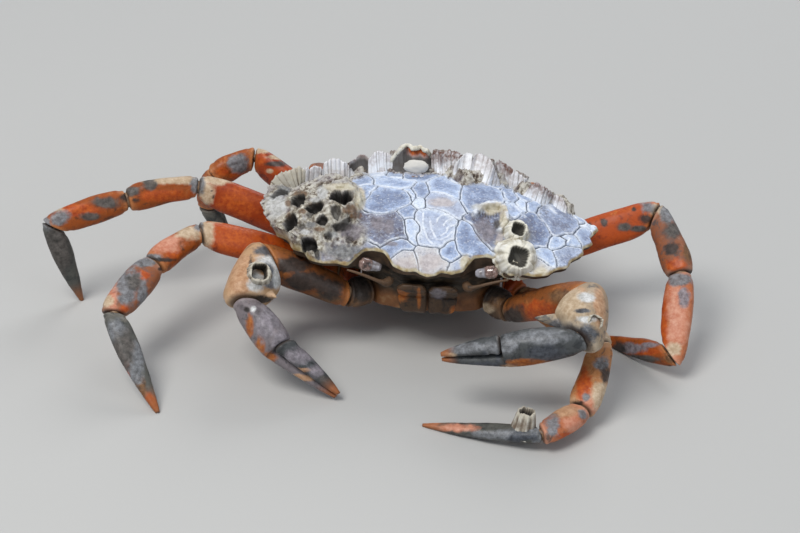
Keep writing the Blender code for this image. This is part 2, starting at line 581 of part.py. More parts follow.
def socket_cuts(x, y):
    """The line that keeps a plate with this middle clear of the eye's notch."""
    side = math.copysign(1, x)
    if y > SOCKET_REACH:
        return []
    if abs(x) > SOCKET_OUTER:
        return [(side * SOCKET_OUTER, y, -side, 0)]
    if abs(x) > SOCKET_INNER:
        return [(x, SOCKET_BACK, 0, -1)]
    return [(side * SOCKET_INNER, y, side, 0)] if y < SOCKET_BACK else []


def area(polygon):
    return sum(ax * by - ay * bx for (ax, ay), (bx, by) in zip(polygon, polygon[1:] + polygon[:1])) / 2


def tidy_polygon(polygon, shortest=0.5, straight=0.12):
    """Drops corners that lie close to another one or on the line between their neighbours."""
    kept = list(polygon)
    changed = True
    while changed and len(kept) > 3:
        changed = False
        for k, (px, py) in enumerate(kept):
            (ax, ay), (bx, by) = kept[k - 1], kept[(k + 1) % len(kept)]
            chord = math.hypot(bx - ax, by - ay)
            off = abs((bx - ax) * (py - ay) - (by - ay) * (px - ax)) / max(chord, 1e-6)
            if off < straight or math.hypot(px - ax, py - ay) < shortest:
                kept.pop(k)
                changed = True
                break
    return kept


def plate(polygon):
    low = [(x, y, shield_top(x, y) - PLATE_SINK) for x, y in polygon]
    high = [(x, y, shield_top(x, y) + PLATE_RISE) for x, y in polygon]
    return loft([low, high])


def carapace():
    made = link("carapace", shield(), "crust", SHELL_CRUST)
    crust = [plate(cell) for cell in plate_cells()]
    crust += [shield_barnacle(entry, FIRST_SEED + k) for k, entry in enumerate(BARNACLES)]
    fuse(made, crust, solver="MANIFOLD")


def body_outline():
    return BODY_OUTLINE + [(-x, y) for x, y in reversed(BODY_OUTLINE[1:-1])]


def body_crown():
    """The body's upper outline, close under the shield."""
    ring = []
    for x, y in body_outline():
        share = SOCKET_TOP_SHARE if (abs(x), y) == BODY_OUTLINE[2] else BODY_TOP_SHARE
        reach = smooth_radius(math.atan2(x, -y)) * share / math.hypot(x, y)
        ring.append((x * reach, y * reach, rim(y * reach) - SHIELD_EDGE - GAP))
    return ring


def thorax():
    """The body under the shield: straight walls where the legs grow, flaring to the shield above."""
    rings = []
    for level, share in reversed(BODY_LEVELS):
        rise = BELLY_RISE * (BODY_LEVELS[0][0] - level) / (BODY_LEVELS[0][0] - BODY_LOW)
        front = BODY_OUTLINE[0][1] - BELLY_START
        rings.append([(x * share, y * share, level + rise * max(0.0, (y - BELLY_START) / front) ** BELLY_POWER)
                      for x, y in body_outline()])
    crown = body_crown()
    flare = []
    for (x, y), (cx, cy, cz) in zip(body_outline(), crown):
        drop = (RIM_Z - SHIELD_EDGE - GAP - cz) * FLARE_DROP
        flare.append((x + (cx - x) * FLARE_MIX, y + (cy - y) * FLARE_MIX, FLARE_LEVEL - drop))
    link("thorax", loft(rings + [flare, crown]), "underside", SHELL_BROWN)


def eye(name, sign):
    """A short stalk and its rounded eye, lying in the notch of the front margin."""
    inner = Vector((EYE_INNER[0] * sign, *EYE_INNER[1:]))
    outer = Vector((EYE_OUTER[0] * sign, *EYE_OUTER[1:]))
    axis, up, side = axes_of(inner, outer, Vector((0, -1, 0)))
    rings = [oval(inner.lerp(outer, share), up, side, size, size, power=1) for share, size in EYE_PROFILE]
    link(name, loft(rings), "eye", EYE_DARK)


def feeler(name, sign):
    """One antenna: a stout foot and a thin whip that curves outward below the eye."""
    points = [Vector((x * sign, y, z)) for x, y, z in FEELER_PATH]
    rings = []
    for k, point in enumerate(points):
        ahead = points[min(k + 1, len(points) - 1)] - points[max(k - 1, 0)]
        axis, up, side = axes_of(Vector(), ahead, Vector((0, 0, 1)))
        rings.append(oval(point, up, side, FEELER_SIZES[k], FEELER_SIZES[k], FEELER_SIDES, power=1))
    link(name, loft(rings), "orange_shell", SHELL_ORANGE)


def mouth_plate(name, sign):
    """One outer jaw-foot: a long plate with a shorter, rounder one above it, covering half the mouth."""
    rings = []
    for z, y, low_x, high_x, thick in MOUTH_LEVELS:
        corners = [(low_x, 0), (high_x, 0), (high_x, -thick * MOUTH_SIDES[0]),
                   (high_x - MOUTH_BEVEL[0], -thick), (low_x + MOUTH_BEVEL[1], -thick),
                   (low_x, -thick * MOUTH_SIDES[1])]
        rings.append([(x * sign, y + dy, z) for x, dy in corners])
    link(name, loft(rings), "orange_shell", SHELL_ORANGE)


def abdomen():
    """The tail folded under the body: seven broad plates, each lower at its seams."""
    path = [Vector((0, y, z)) for y, z in TAIL_PATH]
    rings = []
    for k, (point, half_width) in enumerate(zip(path, TAIL_HALF_WIDTHS)):
        ahead = path[min(k + 1, len(path) - 1)] - path[max(k - 1, 0)]
        axis, up, side = axes_of(Vector(), ahead, Vector((1, 0, 0)))
        for shift, shrink in ((-TAIL_SEAM, 1.0), (0.0, TAIL_THIN), (TAIL_SEAM, 1.0)):
            if (k == 0 and shift < 0) or (k == len(path) - 1 and shift > 0):
                continue
            centre = point + axis * shift
            width = half_width * (1 + shrink) / 2
            rings.append(oval(centre, up, side, TAIL_HALF_THICK * shrink, width, TAIL_SIDES, TAIL_POWER))
    link("abdomen", loft(rings), "underside", SHELL_BROWN)


def build():
    carapace()
    thorax()
    abdomen()
    for side_name, sign in (("left", 1), ("right", -1)):
        eye(f"eye_{side_name}", sign)
        feeler(f"antenna_{side_name}", sign)
        mouth_plate(f"maxilliped_{side_name}", sign)
    for name in LEG_JOINTS:
        walking_leg(name)
    for name in CLAW_JOINTS:
        claw(name)
    centre_on_origin()


def centre_on_origin():
    """Moves the whole crab so that its box is centred over the origin, its feet still at z = 0."""
    low, high = Vector((math.inf,) * 3), Vector((-math.inf,) * 3)
    for item in CRAB.objects:
        for vertex in item.data.vertices:
            low = Vector(map(min, low, vertex.co))
            high = Vector(map(max, high, vertex.co))
    middle = (low + high) / 2
    for item in CRAB.objects:
        item.data.transform(Matrix.Translation((-middle.x, -middle.y, 0)))


clear_scene()
CRAB = bpy.data.collections.new("green_crab")
bpy.context.scene.collection.children.link(CRAB)
build()
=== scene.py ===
"""The look of a life-size green crab whose shield is crusted with barnacles and lime plates.

Sizes are in millimetres in the crab's own frame: the origin lies on the floor under the middle of its shield,
the crab faces -Y and its own left side is at +X. Each piece is moved onto the solids where its mesh is made.
"""
import itertools
import math

import bpy
import numpy as np
from mathutils import Matrix, Vector


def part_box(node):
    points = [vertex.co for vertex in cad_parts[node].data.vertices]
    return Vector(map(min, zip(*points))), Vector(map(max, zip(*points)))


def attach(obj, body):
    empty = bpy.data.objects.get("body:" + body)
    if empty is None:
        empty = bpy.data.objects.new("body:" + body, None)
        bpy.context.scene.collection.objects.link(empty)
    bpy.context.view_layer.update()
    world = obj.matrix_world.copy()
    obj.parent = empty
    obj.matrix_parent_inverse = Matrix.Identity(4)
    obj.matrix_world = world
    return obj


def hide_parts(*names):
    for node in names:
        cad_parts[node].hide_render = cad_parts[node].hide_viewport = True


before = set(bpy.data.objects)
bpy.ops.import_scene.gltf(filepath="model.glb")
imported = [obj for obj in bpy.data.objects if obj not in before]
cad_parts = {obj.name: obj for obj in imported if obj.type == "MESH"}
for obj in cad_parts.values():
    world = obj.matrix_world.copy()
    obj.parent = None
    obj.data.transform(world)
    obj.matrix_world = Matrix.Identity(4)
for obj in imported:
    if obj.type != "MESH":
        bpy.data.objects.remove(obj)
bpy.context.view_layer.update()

MM = 0.001
THORAX_MID_Y = 0.43
LOW, HIGH = (np.array(corner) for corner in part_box("thorax"))
SHIFT = np.array([(LOW[0] + HIGH[0]) / 2, (LOW[1] + HIGH[1]) / 2 - THORAX_MID_Y * MM, 0.0])

# Camera: angles in degrees, distance, the point it looks at, lens, sensor width and the picture's size.
CAMERA_SIDE, CAMERA_TILT, CAMERA_ROLL, CAMERA_FAR = 3.2, 29.8, 2.0, 486.0
CAMERA_TARGET = (-7.2, 0.0, 9.0)
LENS, SENSOR = 100.0, 36.0
SEEN_SIZE = (800, 533)

# A distance beyond everything here, and the values that a ring of points may carry for its finish.
FAR_AWAY = 99.0
RING_VALUES = ("rib", "tip", "deep", "stain", "flesh", "lid", "ends", "joint")

# The shield's sizes and outline, as in the solids; its mesh, and the rings of its edge and underside: how far
# they drop, their share of the outline and how dark they are. The darkness is painted shade under the rim.
SHELL_MESH = (1000, 240)
EDGE_RINGS = ((0.10, 0.998, 0.35), (0.24, 0.994, 1.0))
UNDER_RINGS = ((0.99, 0.60), (0.988, 1.1), (0.985, 1.3), (0.95, 1.5), (0.8, 1.5), (0.45, 1.5))
RIM_Z = 23.0
DOME = 7.4
DOME_POWER = 2.4
REAR_DROP = 4.0
REAR_START = -3.0
HALF_LENGTH = 27.0
SHIELD_EDGE = 1.5
HALF_SMOOTH = [(0, -26.2), (9, -25.4), (18, -24.0), (25.6, -20.4), (30.4, -14.4), (33.2, -7.0), (33.4, -1.8),
               (29.6, 3.6), (23.0, 14.0), (17.4, 22.6), (9.5, 26.4), (0, 27.2)]
HALF_MARGIN = [(0, -27.4), (2.6, -25.8), (4.8, -26.0), (7.4, -25.0), (8.2, -23.4), (9.4, -22.2),
               (11.6, -21.6), (13.8, -21.6), (15.2, -22.8), (16.4, -25.0), (19.2, -23.8), (22.2, -24.4),
               (24.9, -23.4), (26.2, -21.2), (28.8, -20.0), (29.6, -16.9), (32.0, -14.2), (32.0, -11.4),
               (34.0, -9.4), (33.4, -6.6), (35.4, -2.6), (32.6, -0.4), (29.6, 3.6), (26.4, 8.8), (23.0, 14.0),
               (20.2, 18.6), (17.0, 22.8), (13.0, 25.6), (6.5, 26.9), (0, 27.2)]
MOUND_MIDDLE = (-24.0, -10.5)
MOUND_HALF = (9.5, 13.0)
MOUND_HEIGHT = 2.0
MOUND_FADE = (0.45, 1.05)

# Barnacles on the shield: kind, x, y, foot radius, height, lean along x and y, and the mouth's share of the foot.
BARNACLES = [
    ("margin", 17.9, -21.0, 4.1, 3.0, 0.1, -0.7, 0.54), ("margin", 17.4, -14.8, 2.7, 3.2, 0.1, -0.6, 0.56),
    ("rear", -9.0, 16.4, 2.8, 3.2, 0.0, 0.2, 0.6), ("rear", 0.6, 15.2, 3.0, 3.4, 0.0, 0.2, 0.6),
    ("rear", 9.6, 14.2, 2.6, 3.0, 0.0, 0.2, 0.6), ("rear", 17.2, 11.8, 2.2, 2.6, 0.1, 0.2, 0.6),
    ("rear", -17.8, 14.4, 2.6, 3.0, -0.1, 0.2, 0.6), ("rear", 4.6, 21.0, 2.2, 2.4, 0.0, 0.2, 0.6),
    ("rear", -5.0, 22.0, 2.0, 2.4, 0.0, 0.2, 0.6)]
# Points round a barnacle, rings outside and inside, and the plates of its wall.
BARNACLE_MESH = (112, 22, 16)
WALL_PLATES = 6
# Each kind's ribs, how deep they are, how jagged its top is and how its walls bend in.
BARNACLE_KINDS = {"rear": (13, 0.09, 0.35, 0.9), "cluster": (9, 0.05, 0.4, 0.9), "margin": (8, 0.045, 0.22, 2.4)}
# Its finish: name, low, middle and high colours of the ribs, the mouth's edge, the painted shade inside the hole and
# the stains.
BARNACLE_FINISHES = {
    "cluster": ("barnacle_rough", (0.07, 0.05, 0.038), (0.27, 0.23, 0.18), (0.52, 0.50, 0.44),
                (0.55, 0.51, 0.42), (0.012, 0.011, 0.009), (0.13, 0.085, 0.055)),
    "margin": ("barnacle_cream", (0.36, 0.32, 0.24), (0.62, 0.60, 0.52), (0.80, 0.79, 0.74),
               (0.76, 0.73, 0.63), (0.03, 0.027, 0.022), (0.36, 0.30, 0.20)),
    "row": ("barnacle_white", (0.20, 0.18, 0.17), (0.66, 0.67, 0.68), (0.86, 0.88, 0.92),
            (0.17, 0.095, 0.075), (0.03, 0.022, 0.018), (0.40, 0.32, 0.27)),
    "rear": ("barnacle_grey", (0.10, 0.09, 0.08), (0.32, 0.31, 0.29), (0.56, 0.56, 0.55),
             (0.22, 0.16, 0.13), (0.02, 0.018, 0.015), (0.16, 0.12, 0.10))}
# Lime plates that the picture shows: lightness, warmth, specks, and corners by where they are seen, 800 by 533.
# The first one has curved growth lines.
PLATES_SEEN = [
    (0.62, 0.25, 0.1, [(417, 212), (421, 210), (430, 210), (437, 210.5), (443, 212.5), (448, 215.5), (452, 218.5),
        (456, 222), (456.5, 225), (453, 227), (454.5, 230), (455, 233), (453, 238), (450, 240.5), (446, 242.5),
        (443, 246), (439, 247), (433, 248), (426, 247.5), (421, 246), (418.5, 243), (417.5, 238), (419, 234.5),
        (421, 232), (420.5, 226), (418, 223), (415.5, 220), (415.5, 216)]),
    (0.6, 0.1, 0.1, [(405, 221), (408, 220), (412, 220.5), (415, 222), (417, 224.5), (419, 228), (418.5, 231),
        (416.5, 234), (415.5, 239), (416.5, 245), (414, 244.5), (410, 241), (407.5, 237), (406, 231)]),
    (0.4, 0.0, 0.2, [(400, 212), (406, 209), (412, 207), (416, 209.5), (414.5, 214), (413.5, 217.5), (410, 218.5),
        (404, 219), (401.5, 215)]),
    (0.66, 0.1, 0.0, [(413, 204), (416, 201), (420, 200), (424, 201), (425, 206), (422, 209), (418, 209.5),
        (414.5, 207.5)]),
    (0.52, 0.0, 0.1, [(430, 184), (433, 181), (438, 180), (445, 180.5), (451, 183), (457, 185.5), (460.5, 188),
        (460, 193), (459.5, 199), (455, 199.5), (450, 196.5), (444, 194.5), (437, 193), (431, 193), (428.5, 190)]),
    (0.5, 0.3, 0.1, [(427, 198), (429, 195), (434, 194), (442, 194.5), (449, 197.5), (456, 201), (459, 203),
        (462, 208), (464, 213), (461, 216), (459, 219), (455, 218), (449, 214.5), (443, 211.5), (436, 209),
        (430, 208.5), (427, 207), (426.5, 202)]),
    (0.44, 0.0, 0.2, [(461.5, 190), (464, 188), (472, 186.5), (484, 186.5), (493, 187.5), (498, 190.5), (502, 195),
        (504, 200), (497, 204), (489, 208), (481, 211), (474, 213), (468, 211), (463, 205), (461, 200), (461, 195)]),
    (0.44, 0.0, 0.2, [(463, 222), (467, 223), (471, 226), (474, 231), (478, 237), (483, 243), (488, 248), (492, 252),
        (490.5, 255), (483, 254.5), (475, 254), (467, 255), (462, 254), (459, 250), (457.5, 243), (457, 235),
        (458, 228), (460, 223.5)]),
    (0.46, 0.0, 0.0, [(450, 243), (453, 243.5), (455.5, 248), (457, 253), (459, 257), (456, 259.5), (451.5, 262),
        (447, 259.5), (442, 257.5), (439.5, 252.5), (443, 248.5), (447, 245)]),
    (0.66, 0.75, 0.0, [(416.5, 249), (419, 247), (424, 247), (430, 248.5), (437, 249), (440, 254), (442, 258.5),
        (446, 261.5), (449, 264.5), (447, 269), (441, 273), (436, 275), (430, 279), (424, 277), (420.5, 272),
        (419, 264), (417.5, 257)]),
    (0.6, 0.8, 0.0, [(391, 259), (396, 256), (401, 252), (404, 250.5), (408, 252), (412, 253.5), (415.5, 257),
        (417, 262), (418, 270), (413, 275), (405, 276), (398, 273), (394, 265)]),
    (0.4, 0.1, 0.3, [(381, 248), (386, 245), (392, 241), (400, 239.5), (405, 241), (410, 244), (414, 247.5),
        (410, 250), (403, 251), (397, 254), (391, 258), (388, 258), (385, 253)]),
    (0.2, 0.25, 1.0, [(372, 216), (380, 216), (388, 214.5), (396, 214), (400, 217), (403, 221), (405, 228),
        (406, 235), (407, 239), (402, 238.5), (396, 240), (388, 243), (381, 247), (372, 248), (366, 240), (366, 230),
        (366, 221)]),
    (0.42, 0.0, 0.3, [(370, 193), (378, 191), (390, 190), (401, 190.5), (408, 193), (411, 198), (410, 203),
        (404, 207), (397, 210), (390, 213), (382, 214), (375, 212), (370, 206), (368, 199)]),
    (0.56, 0.0, 0.1, [(374, 180), (378, 176), (386, 174), (395, 175.5), (400, 178.5), (404, 182.5), (410, 183),
        (414, 181.5), (416, 183), (412, 187), (407, 189.5), (400, 190), (392, 188.5), (384, 185.5), (377, 182.5)]),
    (0.46, 0.0, 0.2, [(397, 173), (404, 174), (414, 176), (426, 175), (437, 172), (434, 178), (426, 181), (418, 183),
        (410, 181.5), (403, 180)]),
    (0.4, 0.0, 0.3, [(416, 184), (421, 184), (426, 186), (428, 190), (427, 195), (424, 198), (419, 198.5), (415, 194),
        (412, 190)]),
    (0.5, 0.0, 0.1, [(402, 190), (408, 189.5), (411, 191), (415, 196), (412, 201), (410, 197), (407, 193)]),
    (0.22, 0.1, 1.0, [(470, 216), (478, 214), (488, 213), (497, 216), (504, 220), (501, 230), (497, 238), (495, 244),
        (492, 250), (484, 243), (478, 236), (474, 230), (471, 225), (465, 221), (464, 218)]),
    (0.3, 0.0, 0.5, [(524, 216), (530, 215), (536, 219), (541, 224), (545, 230), (548, 236), (549, 243), (546, 247),
        (540, 247), (534, 245), (531, 238), (528, 231), (525, 224)]),
    (0.4, 0.1, 0.5, [(541, 210), (548, 208), (556, 208.5), (563, 212), (570, 216), (577, 220), (580, 224), (576, 229),
        (571, 235), (564, 236), (556, 236), (551, 233), (548, 227), (544, 220), (541, 214)]),
    (0.56, 0.0, 0.1, [(549, 240), (556, 239.5), (562, 237.5), (568, 236.5), (573, 238), (576, 242), (570, 244),
        (563, 246), (557, 249), (550, 249.5), (547, 246)]),
    (0.54, 0.0, 0.1, [(541, 250), (547, 249.5), (551, 253), (554, 258), (557, 264), (554, 268), (549, 266),
        (544, 261), (539, 256)]),
    (0.46, 0.15, 0.2, [(553, 252), (559, 250), (566, 246.5), (574, 244.5), (580, 247), (584, 251), (579, 257),
        (574, 263), (569, 268), (562, 271), (558, 267), (557, 260), (554, 256)]),
    (0.48, 0.1, 0.1, [(573, 236), (578, 231), (584, 229), (590, 232), (592, 238), (592, 246), (589, 254), (583, 250),
        (580, 245), (576, 241)]),
    (0.64, 0.25, 0.0, [(577, 218), (585, 221), (592, 226), (599, 232), (594, 235), (589, 231), (583, 228),
        (579, 226)]),
    (0.7, 0.6, 0.0, [(533, 261), (541, 262), (547, 266), (553, 269), (553, 275), (548, 279), (540, 279), (532, 273)]),
    (0.62, 0.1, 0.0, [(516, 203), (519, 200), (524, 201), (526, 206), (524, 210), (519, 209)]),
    (0.5, 0.0, 0.1, [(527, 203), (533, 202), (538, 206), (534, 210), (528, 210)]),
    (0.5, 0.0, 0.1, [(507, 206), (512, 203), (517, 209), (522, 213), (516, 214), (510, 212)]),
    (0.46, 0.0, 0.2, [(499, 189), (506, 190), (514, 195), (520, 199), (514, 202), (508, 204), (505, 199)]),
    (0.6, 0.5, 0.1, [(450, 264), (456, 260.5), (462, 258), (468, 258), (468, 264), (463, 272), (456, 275), (448, 275),
        (449, 269)]),
    (0.5, 0.0, 0.1, [(520, 190), (530, 190), (541, 198), (536, 202), (526, 198), (518, 195)]),
    (0.5, 0.0, 0.1, [(486, 181), (500, 183), (505, 188), (498, 188), (490, 185)])]

# Plates elsewhere: x, y, rough radius, lightness, warmth and specks.
PLATES = [(-15.8, -5.0, 2.6, 0.44, 0.0, 0.3), (-16.2, 1.2, 2.6, 0.5, 0.0, 0.3), (-20.6, 1.6, 2.4, 0.5, 0.1, 0.3),
          (-12.8, -22.4, 2.6, 0.3, 0.3, 0.8), (-16.5, -21.6, 2.6, 0.35, 0.4, 0.8), (29.4, -11.4, 2.2, 0.5, 0.0, 0.1),
          (-9.6, 3.6, 3.0, 0.5, 0.0, 0.2), (5.4, 1.6, 2.2, 0.5, 0.0, 0.2), (12.2, 2.0, 2.4, 0.5, 0.0, 0.2),
          (18.9, -1.2, 2.0, 0.5, 0.0, 0.2), (31.4, -2.2, 2.0, 0.5, 0.1, 0.1), (26.0, -4.2, 2.0, 0.5, 0.0, 0.2),
          (-13.0, 12.6, 3.0, 0.42, 0.1, 0.4), (-4.8, 13.4, 3.2, 0.5, 0.0, 0.3), (5.0, 12.6, 3.0, 0.4, 0.0, 0.5),
          (13.2, 11.2, 3.0, 0.5, 0.1, 0.3), (21.6, 8.6, 2.8, 0.42, 0.0, 0.4), (-22.4, 10.6, 3.0, 0.4, 0.2, 0.5),
          (-13.4, 19.4, 2.8, 0.46, 0.1, 0.4), (-4.4, 19.0, 2.6, 0.4, 0.0, 0.5), (1.0, 20.4, 2.4, 0.5, 0.1, 0.3),
          (10.0, 19.6, 3.0, 0.44, 0.0, 0.4), (16.4, 17.4, 2.6, 0.5, 0.1, 0.4)]

# Back row of the shield: lower and upper edge of each wall as seen from left to right, depth in millimetres,
# whether its front is open, how many ribs, and how brown its top is.
ROW = [
    ([(289, 189), (296, 190), (303, 190), (310, 190), (316, 189), (321, 188), (325, 186)], [(290, 181), (297, 176),
        (301, 171), (304, 168), (309, 169), (315, 166), (321, 168), (324, 175)], 3.4, 0, 9, 0.4),
    ([(321, 184), (326, 187), (332, 185), (338, 183), (344, 182), (350, 179), (357, 176)], [(322, 172), (324, 164),
        (328, 161), (333, 158.5), (339, 160), (345, 163), (350, 168), (356, 175)], 4.0, 0, 11, 0.2),
    ([(350, 171), (354, 173), (358, 173), (364, 172), (370, 170)], [(349, 163), (352, 160), (355, 160), (358, 156),
        (363, 155), (367, 157), (371, 161)], 2.6, 1, 7, 0.8),
    ([(369, 170), (374, 171), (379, 172), (384, 173), (389, 172), (394, 172)], [(368, 160), (371, 157), (375, 152),
        (379, 151), (384, 153), (389, 154), (393, 158)], 3.6, 0, 8, 0.35),
    ([(392, 173), (398, 175), (406, 177), (415, 178), (424, 177), (432, 174), (439, 172)], [(391, 168), (392, 160),
        (397, 153), (403, 147), (407, 145), (413, 149), (420, 147), (427, 151), (433, 159), (439, 169)], 5.0, 1, 12,
        0.9),
    ([(433, 171), (437, 177), (441, 178), (444, 177)], [(431, 156), (434, 151), (439, 150.5), (443, 153)], 3.0, 0, 4,
        1.0),
    ([(441, 176), (446, 178), (450, 178), (456, 178), (461, 176)], [(440, 159), (442, 153), (447, 151), (453, 152),
        (458, 153), (463, 156)], 3.6, 0, 7, 1.0),
    ([(443, 174), (450, 179), (457, 183), (463, 185.5), (467, 186)], [(449, 171), (456, 163), (462, 157), (467, 153),
        (473, 155)], 3.8, 0, 4, 0.2),
    ([(466, 188), (472, 187), (480, 187), (489, 187), (499, 188)], [(473, 158), (476, 154), (481, 154), (487, 157),
        (491, 161), (496, 172), (500, 182)], 4.4, 0, 7, 0.5),
    ([(496, 174), (500, 178), (505, 181), (511, 182)], [(493, 166), (497, 162), (500, 160.5), (504, 164), (509, 167),
        (513, 170)], 3.4, 0, 5, 1.0),
    ([(503, 184), (509, 188), (515, 189), (519, 192), (523, 195), (528, 189)], [(506, 172), (511, 169), (515, 171),
        (519, 174), (523, 177), (527, 180), (529, 185)], 3.6, 0, 6, 0.3),
    ([(521, 197), (527, 199), (533, 202), (538, 205), (544, 206), (550, 205)], [(527, 190), (531, 186), (536, 183.5),
        (541, 185), (546, 188), (550, 192), (554, 196)], 3.6, 0, 9, 0.9),
    ([(549, 204), (554, 207), (559, 209), (565, 214)], [(552, 197), (556, 195.5), (560, 197), (563, 199), (567, 208)],
        3.0, 0, 5, 0.6)]

ARCHED = 4
# Where the row stands at the furthest, as x and y, and how high its walls may reach.
ROW_LINE = [(-34.0, 0.5), (-28.8, 2.4), (-25.8, 4.4), (-20.4, 6.4), (-15.8, 7.4), (-12.2, 7.6), (-4.8, 6.8),
            (2.2, 6.0), (9.8, 4.6), (13.9, 4.4), (16.9, 3.0), (21.4, 1.2), (25.2, -1.4), (30.0, -4.0)]
ROW_TOP = 34.1
# Its cups: points across half a ring, rings outside and inside, how deep they are sunk and how far they lean back.
CUP_MESH = (96, 26, 14)
CUP_SUNK = 0.6
CUP_LEAN = 0.8
# The pale lid in the arched one, as seen, and its half sizes.
LID_SEEN = (416, 167)
LID_SIZES = (2.7, 1.3, 1.6)

# Worn walls at the left end of the row, in the same terms.
ROUGH_ROW = [
    ([(279, 203), (282, 199), (287, 196), (292, 194), (297, 193)], [(269.5, 188), (271, 182), (275, 177.5),
        (281, 173), (287, 172), (292, 170), (297, 172)], 3.4, 0, 5, 0.5),
    ([(288, 194), (294, 192), (300, 191), (306, 190)], [(287, 175), (291, 170), (296, 167.5), (301, 168), (306, 171),
        (309, 176)], 3.2, 0, 5, 0.9)]

# Rough mass under the holes and along the right edge: x, y, radius and height; how far it hangs over the edge.
BULGES = [(-29.6, -15.0, 4.0, 1.6), (-31.4, -11.0, 4.2, 2.6), (-32.2, -7.0, 4.4, 3.4), (-32.2, -3.0, 4.2, 3.8),
          (-31.4, 0.4, 3.2, 3.6), (-25.0, -19.6, 4.6, 1.2)]
OVERHANG = 1.7
MASS_MIDDLE, MASS_HALF, MASS_HEIGHT = (-24.6, -9.5), (8.4, 12.5), 1.6

# Plates reach this far past their outlines. A bank of rock stands behind the row: how far behind, and how high.
PLATE_REACH = 6.0
BANK_BEHIND, BANK_HEIGHT = 2.6, 1.8

# Holes of the rough mound: height of the rim over the mound, its width, the hole's depth, which also deepens
# the painted shade inside it, and its corners as seen.
PITS = [
    (1.7, 2.0, 2.8, [(329, 197), (332, 193), (336, 191), (340, 191.5), (341.5, 194), (346, 194.5), (350, 191.5),
        (354, 196), (352, 200), (347, 204), (343, 204), (337, 201), (332, 199)]),
    (0.9, 1.2, 3.0, [(300, 240), (303, 237.5), (308, 237), (313, 238), (317, 243), (319, 248), (315, 250), (309, 251),
        (303, 250.5), (301, 246)]),
    (0.9, 0.9, 2.8, [(288, 215), (291, 213), (295, 216), (297, 221), (295, 226), (291, 230), (288, 232), (286.5, 227),
        (286, 219)]),
    (1.0, 0.9, 1.6, [(317, 220), (319, 217), (323, 215.5), (327, 219), (328, 223), (325, 226.5), (320, 226),
        (317, 223)]),
    (0.9, 0.9, 2.0, [(305, 209), (309, 206), (314, 203), (319, 203), (323, 205), (325, 209), (319, 212), (314, 214),
        (309, 212)]),
    (0.9, 0.8, 1.9, [(292, 199), (297, 196), (304, 196), (306, 201), (303, 206), (297, 208), (293, 205)]),
    (0.8, 0.7, 1.1, [(332, 211), (336, 208), (339, 209), (341, 214), (338, 220), (335, 220), (332, 216)]),
    (0.5, 0.4, 0.7, [(307, 216), (310, 214), (313, 216), (311, 219), (308, 218)]),
    (0.4, 0.4, 1.0, [(315, 252), (318, 251), (319.5, 254), (318, 258), (315.5, 257)]),
    (0.3, 0.4, 0.9, [(326, 236), (330, 234), (333, 236), (331, 240), (327, 240)]),
    (0.4, 0.6, 1.2, [(272, 196), (278, 192), (286, 190), (288, 193), (282, 196), (275, 199)]),
    (0.3, 0.5, 0.8, [(298, 227), (303, 225), (306, 227), (302, 230)]),
    # The last is a shallow recess whose painted shade stands for the shadow on the slope there.
    (0.2, 0.6, 0.9, [(333, 229), (341, 225), (349, 221), (351, 223.5), (345, 229), (337, 232)])]

# Raised lines of the crust: height, half width, how pale, and points as seen.
RIDGES = [
    (1.3, 0.85, 1.0, [(475, 214), (481, 208.5), (488, 205.5), (495, 205), (501, 207.5), (504.5, 213), (505.5, 219),
        (503, 225), (499, 229)]),
    (0.16, 0.28, 0.9, [(430, 222), (431, 230), (434, 236), (437, 240)]),
    (0.16, 0.28, 0.9, [(424, 214), (423, 222), (424, 231), (427, 239), (432, 244)]),
    (0.22, 0.3, 1.0, [(437, 223), (438, 219), (442, 216.5), (448, 215.5), (453, 219)]),
    (0.22, 0.3, 1.0, [(444, 226), (447, 222), (452, 220)]),
    (0.2, 0.3, 1.0, [(447, 229), (452, 227), (455, 226)]),
    (0.18, 0.28, 0.9, [(441, 236), (446, 233), (449, 228)]),
    (0.18, 0.28, 0.8, [(436, 240), (441, 241), (447, 238), (452, 233)]),
    (0.3, 0.45, 0.9, [(500, 230), (505, 224), (511, 219)]),
    (0.3, 0.4, 0.8, [(505, 200), (512, 205), (519, 212), (525, 218)])]

